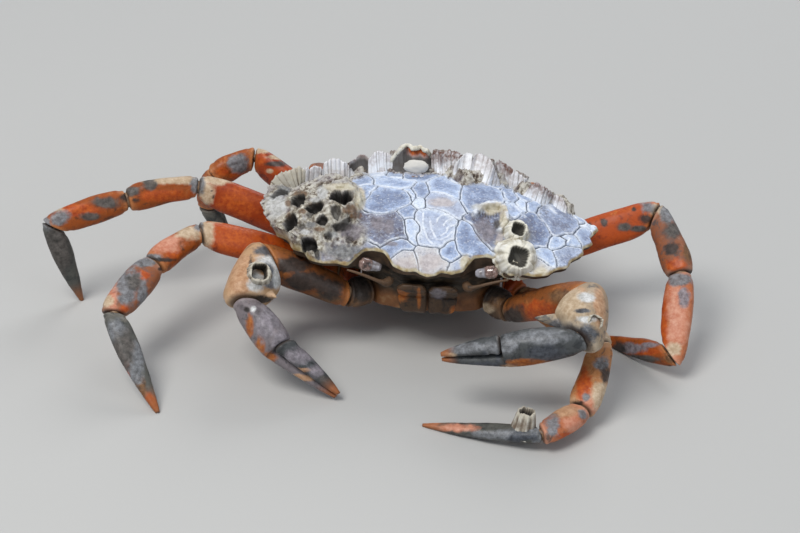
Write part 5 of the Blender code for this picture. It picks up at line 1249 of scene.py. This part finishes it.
def barnacles():
    kinds = {key: barnacle_finish(*colours) for key, colours in BARNACLE_FINISHES.items()}
    groups = {"margin": Form(), "row": Form(), "rear": Form()}
    for seed, (kind, x, y, radius, height, lean_x, lean_y, mouth) in enumerate(BARNACLES):
        axis = shield_axis(x, y, lean_x, lean_y)
        barnacle(groups[kind], np.array([x, y, shield_top(x, y)]), axis, radius, height, mouth, seed, kind)
    for seed, entry in enumerate(ROW):
        foot, crown = cup(groups["row"], *entry, seed)
        if seed == ARCHED:
            count = len(crown)
            sizes = 0.36 + 0.16 * np.abs(np.sin(np.arange(count) * 0.16))
            rod(groups["margin"], crown, sizes, 31, rib=0.6, tip=0.5, stain=1.0)
            lid = at_depth([LID_SEEN], foot[count // 2:count // 2 + 1, 1] + 2.0)[0]
            lump(groups["row"], lid, LID_SIZES, 4, lid=1.0)
    for key, form in groups.items():
        form.make(f"barnacles_{key}", kinds[key], "crust")
    form = Form()
    for seed, entry in enumerate(ROUGH_ROW):
        cup(form, *entry, 60 + seed)
    form.make("barnacles_rough", kinds["cluster"], "crust")
    return kinds


def rod(form, line, sizes, seed, columns=20, **marks):
    """A bumpy rod along a line."""
    points = np.concatenate(rings_along(line, sizes, columns, (0.1, 1.0, 0.2)))
    form.sleeve(points + 0.12 * noise(points, 0.9, 3, seed)[:, None], columns, **marks)


def along(points, share):
    """Points at shares of the way along an open line."""
    points = np.asarray(points, float)
    walk = np.concatenate([[0], np.cumsum(np.hypot(*np.diff(points, axis=0).T))])
    return np.stack([np.interp(share * walk[-1], walk, points[:, k]) for k in range(2)], -1)


def rib_of(bend, draw):
    """Broad lobes with narrow grooves between them: 1 on a lobe, 0 in a groove."""
    away = np.abs((bend + 0.5) % 1.0 - 0.5)
    deep = np.array([draw.uniform(0.35, 1.0) for _ in range(40)])[np.round(bend).astype(int) % 40]
    return 1 - deep * np.exp(-(away / 0.13) ** 2)


def cup(form, bottom, top, depth, open_front, walls, brown, seed):
    """A barnacle of the back row, raised from its wall's lower and upper edge as they are seen."""
    half, outer, inner = CUP_MESH
    u = np.linspace(0, 1, half)
    swell = np.sin(math.pi * u) ** 0.6
    foot = row_feet(along(bottom, u))
    foot = foot + (foot - foot.mean(0)) * 0.08
    foot = np.column_stack([foot, shield_top(*foot.T) - CUP_SUNK])
    draw = np.random.default_rng(seed + 40)
    strip = np.stack([u * 9, np.full(half, seed * 5.1), 0 * u], -1)
    bend = u * walls + 0.35 * noise(strip, 1.1, 2, seed)
    rib = rib_of(bend, draw)
    jag = (0.40 * noise(strip, 0.5, 3, seed + 3) + 0.30 * (rib - 0.8)) * swell
    rise = np.stack([0 * u, 0 * u, jag], -1)
    away = 0.35 + depth * swell
    thick = np.array([0.0, 1.0, 0.0]) * np.minimum(0.4, 0.3 * away)[:, None]
    if open_front:
        front = foot + np.stack([0 * u, 0 * u + 0.1, 0.9 + 0.3 * jag], -1)
        inside = crest_at(along(top, u), foot[:, 1] + away) + rise
        back = inside + np.array([0.0, 0.45, -0.15])
    else:
        front = crest_at(along(top, u), foot[:, 1] + CUP_LEAN) + rise
        back = front + np.stack([0 * u, away, -0.62 * away], -1)
        inside = back - thick
    ledge = front + thick
    behind = np.column_stack([*held(back[:, 0], back[:, 1] + 0.5 * swell), 0 * u])
    behind[:, 2] = shield_top(behind[:, 0], behind[:, 1]) - CUP_SUNK
    middle = (ledge + inside) / 2
    middle[:, 2] = foot[:, 2] + (1.2 if open_front else 0.6 + 0.35 * np.maximum(front[:, 2] - foot[:, 2], 0))

    # One ring runs along the front from left to right and along the back again.
    def ring_of(ahead, rear):
        return np.concatenate([ahead, rear[half - 2:0:-1]])

    base, crest, edge, floor = (ring_of(*pair) for pair in (
        (foot, behind), (front, back), (ledge, inside), (middle, middle)))
    floor[:, :2] += (edge - floor)[:, :2] * 0.15
    ribs, share_u, is_back = ring_of(rib, rib), ring_of(u, u), ring_of(0 * u, 0 * u + 1)
    rings = Rings(len(base))
    for v in np.linspace(0, 1, outer):
        ring = base + (crest - base) * v
        swollen = 0.42 * math.sin(math.pi * v) ** 0.8 * np.sin(math.pi * share_u)
        swollen = swollen + 0.24 * (ribs - 0.6) * (0.5 + 0.5 * v)
        ring[:, 1] -= swollen * (1 - 2 * is_back)
        rings.add(ring, rib=ribs, tip=brown * smooth(0.45, 0.95, v + 0.25 * (ribs - 0.6)), stain=0.2 + 0.5 * (1 - v))
    rings.add(edge, rib=0.6, tip=brown, stain=0.3)
    for v in np.linspace(0.07, 1, inner):
        flesh = 0.0
        if open_front and brown > 0.85:
            flesh = is_back * smooth(0.36, 0.45, share_u) * smooth(0.78, 0.66, share_u) * float(smooth(0.55, 0.3, v))
        # Painted shade darkens the inside of the cup downwards.
        dark = float(smooth(0.0, 0.35, v)) * (0.9 if open_front else 0.97)
        rings.add(edge + (floor - edge) * np.array([v ** 1.5, v ** 1.5, v]), rib=0.3 + 0.4 * ribs,
                  tip=brown * float(smooth(0.5, 0.0, v)), deep=dark * (1 - flesh), stain=0.5, flesh=flesh)
    points = rings.points()
    rings.close(form, points + 0.05 * noise(points, 0.8, 3, seed + 17)[:, None] * np.array([1.0, 1.0, 0.4]))
    return foot, inside


# Limbs.


def limb_normal(joints):
    total = sum(np.cross(joints[-1] - joints[0], point - joints[0]) for point in joints[1:-1])
    total = unit(total)
    return -total if total[1] > 0 else total


def axes_of(start, end, normal, hand=1):
    axis = unit(end - start)
    side = unit(normal - axis * normal.dot(axis))
    return axis, np.cross(axis, side) * hand, side


def handedness(start, end, normal):
    return 1 if axes_of(start, end, normal)[1][2] > 0 else -1


def wall_direction(point):
    sign = math.copysign(1, point[0])
    if point[1] < BODY_OUTLINE[3][1]:
        a, b = BODY_OUTLINE[2], BODY_OUTLINE[3]
    elif point[1] > BODY_OUTLINE[6][1]:
        a, b = BODY_OUTLINE[6], BODY_OUTLINE[7]
    else:
        return np.array([sign, 0, 0])
    return unit(np.array([(b[1] - a[1]) * sign, a[0] - b[0], 0]))


def mitres(joints, wall):
    ways = [unit(b - a) for a, b in zip(joints, joints[1:])]
    return [(wall, 0.3)] + [(unit(a + b), 0.15) for a, b in zip(ways, ways[1:])] + [None]


def oval(angle, half_up, half_side, power=0.85):
    c, s = np.cos(angle), np.sin(angle)
    return np.sign(c) * np.abs(c) ** power * half_up, np.sign(s) * np.abs(s) ** power * half_side


def lip_at(near, dip, at, width):
    """The raised lip of a segment's end and the dip behind it, by the distance from the end."""
    return 0.16 * math.exp(-((near - 0.35) / 0.3) ** 2) - dip * math.exp(-((near - at) / width) ** 2)


def groove_of(kind, angle):
    """Lengthwise grooves, or the ridge of a merus, round one segment."""
    if kind in ("carpus", "propodus"):
        return -0.16 * sum(np.exp(-((np.sin(angle / 2 + at) * 2) / 0.16) ** 2) for at in (-0.62, 0.62))
    if kind == "dactyl":
        return -0.10 * np.exp(-(np.cos(angle) / 0.2) ** 2)
    if kind == "merus":
        return 0.10 * np.exp(-(np.sin(angle / 2) * 2 / 0.35) ** 2)
    return 0.0 * angle


def tube(form, start, end, profile, normal, hand, cut_start, cut_end, bow, kind, seed):
    """One limb segment: a smooth tube through a profile, mitred at its ends, with grooves, grain and lips."""
    columns, rows = 56, 60
    axis, up, side = axes_of(start, end, normal, hand)
    length = np.linalg.norm(end - start)
    angle = turn(columns)
    grooves = groove_of(kind, angle)
    rings = Rings(columns)
    share = np.linspace(0, 1, rows)
    for s, high, wide in zip(share, *at_share(profile, share)):
        near = min(s, 1 - s if cut_end is not None else 1) * length
        lip = lip_at(near, 0.12, 1.2, 0.4) - 0.30 * math.exp(-(near / 0.16) ** 2)
        reach_up, reach_side = oval(angle, high + lip, wide + lip)
        groove = grooves * math.sin(math.pi * min(max((s - 0.02) / 0.96, 0), 1)) ** 0.5
        grow = 1 + groove / np.hypot(reach_up, reach_side)
        flat = spread(up, reach_up * grow, side, reach_side * grow)
        slide = s * length + (cut_start[1] - flat @ cut_start[0]) / axis.dot(cut_start[0]) * max(0.0, 1 - 2 * s)
        if cut_end is not None:
            slide += (-cut_end[1] - flat @ cut_end[0]) / axis.dot(cut_end[0]) * max(0.0, 2 * s - 1)
        close = min(s * length, (1 - s) * length if cut_end is not None else FAR_AWAY)
        rings.add(start + axis * slide[:, None] + flat + up * bow * math.sin(math.pi * s),
                  ends=math.exp(-(close / 1.1) ** 2), joint=0.75 * math.exp(-(close / 0.18) ** 2),
                  tip=0.0 if cut_end is not None else 0.8 * float(smooth(0.72, 0.95, s)))
    points = rings.points()
    bumps = 0.05 * noise(points, 1.1, 3, seed) + 0.08 * noise(points, 3.6, 2, seed + 3) - 0.06
    points = pushed_out(points, columns, bumps)
    if kind == "dactyl":
        points[:, 2] = np.maximum(points[:, 2], 0.0)
    rings.close(form, points)


def membrane(form, at, plane, before, after, high, wide, up, side):
    """Soft skin that fills the gap at a joint."""
    columns = 32
    reach_up, reach_side = oval(turn(columns), high, wide, 1.0)
    rings = []
    for along, grow in ((-1.2, 0.7), (-0.5, 0.86), (0.0, 0.9), (0.5, 0.86), (1.2, 0.7)):
        way = before if along < 0 else after
        flat = spread(up, reach_up * grow, side, reach_side * grow)
        flat = flat - way * ((flat @ plane) / way.dot(plane))[:, None]
        rings.append(at + way * along + flat)
    form.sleeve(np.concatenate(rings), columns)


def cone(form, root, tip, radius, **marks):
    """A pointed spine from a root to its tip."""
    columns, rows = 20, 14
    axis = unit(tip - root)
    side = unit(np.cross(axis, (0.3, 0.2, 1.0)))
    ring = around(turn(columns), side, np.cross(axis, side))
    share = np.linspace(0, 1, rows)
    sizes = radius * (1 - share) ** 0.8 + 0.12
    points = np.concatenate([root + (tip - root) * s + ring * size for s, size in zip(share, sizes)])
    form.sleeve(points, columns, ends=np.repeat(smooth(0.35, 0.8, share), columns), **marks)


def plan(points, bent):
    """A limb's joints, the direction its bends face, its handedness and the planes that cut its segments."""
    joints = [np.array(p) for p in points]
    normal = limb_normal(joints[bent])
    return joints, normal, handedness(joints[1], joints[2], normal), mitres(joints, wall_direction(joints[0]))


def skins(skin, joints, normal, hand, cuts, sizes):
    """Soft skin at each of a limb's joints."""
    for i, (high, wide) in enumerate(sizes, 1):
        before, after = unit(joints[i] - joints[i - 1]), unit(joints[i + 1] - joints[i])
        _, up, side = axes_of(joints[i - 1], joints[i], normal, hand)
        membrane(skin, joints[i], cuts[i][0], before, after, high, wide, up, side)


def make_limb(form, name, part, index, finishes, slot="orange_shell"):
    form.tint(LIMB_PATCHES.get(f"{name}_{part}", {}))
    form.make(f"look_{name}_{part}", finishes[LIMB_FINISH[name][index]], slot, f"{name}_{part}")


def walking_legs(finishes, skin):
    for index, (name, points) in enumerate(LEG_JOINTS.items()):
        joints, normal, hand, cuts = plan(points, slice(1, None))
        table = SWIMMING if name.startswith("leg4") else WALKING
        for i, part in enumerate(SEGMENTS):
            raised = axes_of(joints[i], joints[i + 1], normal, hand)[1][2] > 0
            stout = STOUTNESS.get(f"{name}_{part}", 1.0)
            profile = [(share, high * stout, wide * stout) for share, high, wide in table[part]]
            form = Form()
            tube(form, joints[i], joints[i + 1], profile, normal, hand, cuts[i], cuts[i + 1],
                 BOW[part] * (1 if raised else LOW_BOW), part, index * 10 + i)
            make_limb(form, name, part, i, finishes)
        skins(skin, joints, normal, hand, cuts, [table[part][0][1:] for part in SEGMENTS[1:]])


def claws(finishes, skin):
    for index, (name, points) in enumerate(CLAW_JOINTS.items()):
        joints, normal, hand, cuts = plan(points, slice(0, 4))
        for i, part in enumerate(SEGMENTS[:3]):
            form = Form()
            tube(form, joints[i], joints[i + 1], CLAW[part], normal, hand, cuts[i], cuts[i + 1], 0.0, "claw",
                 90 + index * 10 + i)
            if part == "carpus":
                root = joints[2] + (joints[3] - joints[2]) * 0.62
                cone(form, root, np.array(CLAW_SPINE[name]), 2.4)
            make_limb(form, name, part, i, finishes)
        skins(skin, joints, normal, hand, cuts, [sizes[0][1:] for sizes in (CLAW["merus"], CLAW["carpus"], PALM)])
        hand_piece(name, joints, cuts, finishes, index)


def teeth_at(share, turns, start=0.0):
    """Height of the teeth along a finger."""
    return abs(math.sin(share * turns + start)) * math.sin(math.pi * min(share * 1.1, 1)) ** 0.4


def hand_piece(name, joints, cuts, finishes, index):
    """The palm with its fixed finger, and the movable finger above it."""
    wrist, knuckle, tip = joints[3:6]
    level = unit(np.cross(tip - wrist, (0, 0, 1)))
    level = -level if level[1] > 0 else level
    axis, up, side = axes_of(wrist, knuckle, level, handedness(wrist, knuckle, level))
    length = np.linalg.norm(knuckle - wrist)
    columns = 64
    angle = turn(columns)
    end_share = PALM[-1][0]
    palm_end = wrist + (knuckle - wrist) * end_share
    half_palm, half_lower, half_upper = PALM[-1][1], LOWER_FINGER[0][1], max(high for _, high, _ in UPPER_FINGER)
    ridge = 0.16 * sum(np.exp(-((np.sin((angle + at) / 2) * 2) / 0.3) ** 2) for at in (-0.9, 0.9))

    rings = Rings(columns)
    for s in np.linspace(0, end_share, 40):
        high, wide = at_share(PALM, s)
        near = s * length
        lip = lip_at(near, 0.14, 1.3, 0.5)
        reach_up, reach_side = oval(angle, high + lip, wide + lip)
        grow = 1 + ridge * math.sin(math.pi * min(s / end_share, 1)) ** 0.5 / np.hypot(reach_up, reach_side)
        flat = spread(up, reach_up * grow, side, reach_side * grow)
        slide = s * length + (cuts[3][1] - flat @ cuts[3][0]) / axis.dot(cuts[3][0]) * max(0.0, 1 - 2 * s)
        rings.add(wrist + axis * slide[:, None] + flat, ends=math.exp(-near ** 2),
                  joint=0.7 * math.exp(-(near / 0.25) ** 2))
    start, end = palm_end - up * (half_palm - half_lower), tip - up * TIP_SPREAD
    for s in np.linspace(0, 1, 44):
        reach_up, reach_side = oval(angle, *at_share(LOWER_FINGER, s))
        reach_up = reach_up + 0.16 * teeth_at(s, 24) * smooth(0.75, 1.0, np.cos(angle))
        rings.add(start + (end - start) * s + spread(up, reach_up, side, reach_side),
                  tip=0.9 * float(smooth(0.7, 0.95, s)), joint=0.5 * math.exp(-(s / 0.03) ** 2))
    points = rings.points()
    form = Form()
    rings.close(form, pushed_out(points, columns, 0.05 * noise(points, 0.9, 3, 61 + index) - 0.05))
    make_limb(form, name, "palm", 3, finishes, "claw_shell")

    rings = Rings(columns)
    start, end = palm_end + axis * 0.3 + up * (half_palm - half_upper), tip + up * TIP_SPREAD
    for s in np.linspace(0, 1, 52):
        high, wide = at_share(UPPER_FINGER, s)
        reach_up, reach_side = oval(angle, high, wide)
        reach_up = reach_up - 0.14 * teeth_at(s, 22, 1) * smooth(0.75, 1.0, -np.cos(angle))
        collar = 0.14 * math.exp(-((s - 0.05) / 0.04) ** 2) - 0.10 * math.exp(-((s - 0.16) / 0.05) ** 2)
        flat = spread(up, reach_up, side, reach_side) * (1 + collar / high)
        rings.add(start + (end - start) * s + flat + up * 0.25 * math.sin(math.pi * s),
                  tip=0.9 * float(smooth(0.72, 0.95, s)), joint=0.7 * math.exp(-(s / 0.03) ** 2))
    points = rings.points()
    form = Form()
    rings.close(form, points + 0.03 * noise(points, 0.9, 3, 71 + index)[:, None] * side)
    make_limb(form, name, "finger", 4, finishes, "claw_shell")


def limb_barnacles(kinds):
    form = Form()
    for seed, (foot, mouth, radius) in enumerate(LIMB_BARNACLES.values()):
        foot, mouth = np.array(foot), np.array(mouth)
        height = float(np.linalg.norm(mouth - foot))
        barnacle(form, foot, unit(mouth - foot), radius, height, 0.52, 50 + seed, "cluster")
    form.make("barnacles_limbs", kinds["cluster"], "crust")


# Body, face and tail.
def body(finish):
    """The body under the shield: walls where the legs grow, flaring out to the shield above."""
    columns, rows = 300, 90
    outline = np.array(BODY_OUTLINE + [(-x, y) for x, y in reversed(BODY_OUTLINE[1:-1])])
    walk = np.concatenate([[0], np.cumsum(np.hypot(*(np.roll(outline, -1, 0) - outline).T))])
    spots = np.linspace(0, walk[-1], columns, endpoint=False)
    closed = np.vstack([outline, outline[:1]])
    ring = np.stack([softened(np.interp(spots, walk, closed[:, k]), 6, 2.6) for k in range(2)], -1)
    socket = np.hypot(np.abs(ring[:, 0]) - BODY_OUTLINE[2][0], ring[:, 1] - BODY_OUTLINE[2][1])
    share_out = BODY_TOP_SHARE - (BODY_TOP_SHARE - SOCKET_TOP_SHARE) * np.exp(-(socket / 3.6) ** 2)
    reach = smooth_radius(np.arctan2(ring[:, 0], -ring[:, 1])) * share_out / np.hypot(*ring.T)
    crown = ring * reach[:, None]
    crown_z = rim(crown[:, 1]) - SHIELD_EDGE - 0.1
    slope = np.maximum(0.0, (ring[:, 1] - BELLY_START) / (BODY_OUTLINE[0][1] - BELLY_START)) ** 1.2
    keys = []
    for level, part in BODY_LEVELS:
        rise = BELLY_RISE * (BODY_LEVELS[-1][0] - level) / (BODY_LEVELS[-1][0] - BODY_LEVELS[0][0])
        keys.append(np.column_stack([ring * part, level + rise * slope]))
    flare_z = FLARE_LEVEL - (RIM_Z - SHIELD_EDGE - 0.3 - crown_z) * 0.6
    keys.append(np.column_stack([ring + (crown - ring) * FLARE_MIX, flare_z]))
    keys.append(np.column_stack([crown, crown_z]))
    share = np.linspace(0, 1, rows)
    walls = [np.stack(at_share(np.column_stack([BODY_SHARES, wall]), share), -1) for wall in np.stack(keys, 1)]
    points = np.stack(walls, 1).reshape(-1, 3)
    # The share of the way up, by which the finish paints shade under the shield onto the upper part.
    high = np.repeat(share, columns)
    wrinkle = 0.22 * np.sin(high * 26 + 2.0 * noise(points, 6.0, 2, 81))
    wrinkle = wrinkle * smooth(0.5, 0.62, high) * smooth(1.0, 0.9, high)
    bumps = 0.12 * noise(points, 1.4, 3, 82) + 0.22 * noise(points, 4.0, 2, 83) + wrinkle - 0.3
    form = Form()
    form.sleeve(points + outward(points * (1.0, 1.0, 0.0)) * bumps[:, None], columns, high=high)
    form.make("look_thorax", finish, "underside", "thorax")


def tail(finish):
    """The tail folded under the body: broad plates with a step at each seam."""
    columns, rows = 60, 150
    angle = turn(columns)
    plates = len(TAIL_PATH) - 1
    share = np.linspace(0, 1, rows)
    table = np.column_stack([np.linspace(0, 1, plates + 1), TAIL_PATH, TAIL_HALF_WIDTHS])
    ys, zs, widths = at_share(table, share)
    line = np.stack([0 * ys, ys, zs], -1)
    rings = []
    for k, s in enumerate(share):
        up = np.cross(unit(line[min(k + 1, rows - 1)] - line[max(k - 1, 0)]), (1, 0, 0))
        along = (s * plates) % 1.0
        seam = math.exp(-(min(along, 1 - along) / 0.09) ** 2)
        thick = TAIL_HALF_THICK * (1 - 0.45 * seam) * (0.85 + 0.15 * along)
        reach_up, reach_side = oval(angle, thick, widths[k] * (1 - 0.05 * seam), 0.7)
        rings.append(line[k] + spread(up, reach_up, np.array([1.0, 0, 0]), reach_side))
    points = np.concatenate(rings)
    points[:, 2] += 0.05 * noise(points, 1.5, 3, 91)
    form = Form()
    # The tail takes the lower brown, without the painted shade.
    form.sleeve(points, columns, high=0.3)
    form.make("look_abdomen", finish, "underside", "abdomen")


def eyes(finish):
    for side_name, sign in (("left", 1), ("right", -1)):
        inner, outer = (np.array([p[0] * sign, p[1], p[2]]) for p in (EYE_INNER, EYE_OUTER))
        _, up, side = axes_of(inner, outer, np.array([0, -1.0, 0]))
        columns = 48
        ring = around(turn(columns), up, side)
        share = np.linspace(0, 1, 44)
        points = [inner + (outer - inner) * s + ring * size for s, size in zip(share, *at_share(EYE_PROFILE, share))]
        form = Form()
        form.sleeve(np.concatenate(points), columns, cornea=np.repeat(smooth(0.38, 0.5, share), columns))
        form.make(f"look_eye_{side_name}", finish, "eye", f"eye_{side_name}")


def feelers(finish):
    count, columns = 110, 20
    for side_name, sign in (("left", 1), ("right", -1)):
        path = np.array(FEELER_PATH) * np.array([sign, 1, 1])
        knots = np.linspace(0, 1, len(path))
        *line, sizes = at_share(np.column_stack([knots, path, FEELER_SIZES]), np.linspace(0, 1, count))
        sizes = sizes * (0.93 + 0.07 * np.sin(np.arange(count) * 1.9)) - 0.02
        form = Form()
        form.sleeve(np.concatenate(rings_along(np.stack(line, -1), sizes, columns, (0, 0, 1.0))), columns, ends=0.3)
        form.make(f"look_antenna_{side_name}", finish, "orange_shell", f"antenna_{side_name}")


def mouth(finish):
    rows, columns = 60, 44
    c, s = np.cos(turn(columns)), np.sin(turn(columns))
    across, through = (np.sign(part) * np.abs(part) ** 0.6 / 2 for part in (c, s))
    table = np.column_stack([np.linspace(0, 1, len(MOUTH_LEVELS)), MOUTH_LEVELS])
    for side_name, sign in (("left", 1), ("right", -1)):
        rings = []
        for z, y, low_x, high_x, thick in zip(*at_share(table, np.linspace(0, 1, rows))):
            x = (low_x + high_x) / 2 + across * (high_x - low_x)
            dent = 0.25 * np.exp(-((x - (low_x + high_x) / 2) / 0.8) ** 2) * (s < 0)
            rings.append(np.stack([x * sign, y + through * thick - thick / 2 + dent, np.full(columns, z)], -1))
        points = np.concatenate(rings)
        points[:, 1] += 0.08 * noise(points, 1.0, 3, 95)
        form = Form()
        form.sleeve(points, columns)
        form.tint(LIMB_PATCHES[f"maxilliped_{side_name}"])
        form.make(f"look_maxilliped_{side_name}", finish, "orange_shell", f"maxilliped_{side_name}")


def shaded_body_finish():
    # Brown low down, nearly black higher up: the upper part is painted shade under the shield.
    f = Finish("body_brown", 0.5, specular=0.4)
    low = f.ramp(f.lumps(3.0, 6.0),
                 [(0.3, (0.10, 0.035, 0.012)), (0.6, (0.24, 0.10, 0.035)), (0.8, (0.42, 0.26, 0.13))])
    high = f.ramp(f.lumps(2.2, 6.0, (0.03, 0.0, 0.0), stretch=(1.0, 1.0, 2.2)),
                  [(0.3, (0.010, 0.007, 0.004)), (0.52, (0.035, 0.024, 0.014)), (0.75, (0.11, 0.075, 0.045))])
    painted_shade_above = f.ramp(f.plus(f.value("high"), f.times(f.lumps(4.0, 3.0), 0.25)), [(0.45, 0.0), (0.62, 1.0)])
    f.colour(f.mix(painted_shade_above, low, high))
    f.relief(f.lumps(0.8, 6.0, rough=0.65), 0.14, 0.7)
    return f.material


def eye_finish():
    f = Finish("eye", 0.12, specular=0.6, coat=0.6, coat_roughness=0.05)
    stalk = f.ramp(f.lumps(1.6, 4.0), [(0.35, (0.14, 0.12, 0.12)), (0.7, (0.46, 0.46, 0.52))])
    cornea = f.ramp(f.lumps(1.2, 4.0, (0.02, 0.0, 0.0), rough=0.65),
                    [(0.36, (0.035, 0.022, 0.02)), (0.52, (0.20, 0.12, 0.10)), (0.66, (0.44, 0.32, 0.29))])
    f.colour(f.mix(f.value("cornea"), stalk, cornea))
    f.relief(f.lumps(0.12, 2.0), 0.01, 0.3)
    return f.material


# Camera, floor and light.
def camera():
    across, upward, back = (Vector(way) for way in camera_axes())
    data = bpy.data.cameras.new("camera")
    data.lens, data.sensor_width, data.clip_start, data.clip_end = LENS, SENSOR, 0.01, 20
    made = bpy.data.objects.new("camera", data)
    spot = (Vector(CAMERA_TARGET) + back * CAMERA_FAR) * MM + Vector(SHIFT)
    made.matrix_world = Matrix(((across.x, upward.x, back.x, spot.x), (across.y, upward.y, back.y, spot.y),
                                (across.z, upward.z, back.z, spot.z), (0, 0, 0, 1)))
    bpy.context.scene.collection.objects.link(made)
    bpy.context.scene.camera = made


def light(name, place, size, power, colour):
    data = bpy.data.lights.new(name, "AREA")
    data.shape, data.size, data.energy, data.color = "DISK", size, power, colour
    made = bpy.data.objects.new(name, data)
    made.location = place
    made.rotation_euler = (-Vector(place)).to_track_quat("-Z", "Y").to_euler()
    bpy.context.scene.collection.objects.link(made)


def studio():
    mesh = bpy.data.meshes.new("floor")
    half = 6.0
    mesh.from_pydata([(-half, -half, 0), (half, -half, 0), (half, half, 0), (-half, half, 0)], [], [(0, 1, 2, 3)])
    floor = bpy.data.objects.new("floor", mesh)
    bpy.context.scene.collection.objects.link(floor)
    finish = bpy.data.materials.new("floor")
    finish.use_nodes = True
    shader = finish.node_tree.nodes["Principled BSDF"]
    shader.inputs["Base Color"].default_value = (0.46, 0.46, 0.45, 1)
    shader.inputs["Roughness"].default_value = 0.9
    mesh.materials.append(finish)
    world = bpy.data.worlds.new("sky")
    world.use_nodes = True
    world.node_tree.nodes["Background"].inputs["Color"].default_value = (0.80, 0.86, 0.95, 1)
    world.node_tree.nodes["Background"].inputs["Strength"].default_value = 0.42
    bpy.context.scene.world = world
    light("key", (-0.30, -0.35, 0.75), 0.45, 6.0, (1.0, 0.98, 0.95))
    light("fill", (0.55, -0.5, 0.35), 0.6, 1.2, (0.92, 0.96, 1.0))
    light("back", (0.2, 0.6, 0.5), 0.5, 2.2, (1.0, 1.0, 1.0))
    bpy.context.scene.view_settings.view_transform = "Standard"


camera()
studio()
shell()
kinds = barnacles()
finishes = {kind: limb_finish(kind, k) for k, kind in enumerate(FINISHES)}
skin = Form()
walking_legs(finishes, skin)
claws(finishes, skin)
skin_finish = plain_finish("joint_skin", [(0.35, (0.10, 0.055, 0.03)), (0.7, (0.36, 0.22, 0.12))], 1.6, 0.5)
skin.make("joint_skin", skin_finish, "orange_shell")
limb_barnacles(kinds)
brown = shaded_body_finish()
body(brown)
tail(brown)
eyes(eye_finish())
feelers(finishes["mouth"])
mouth(finishes["mouth"])
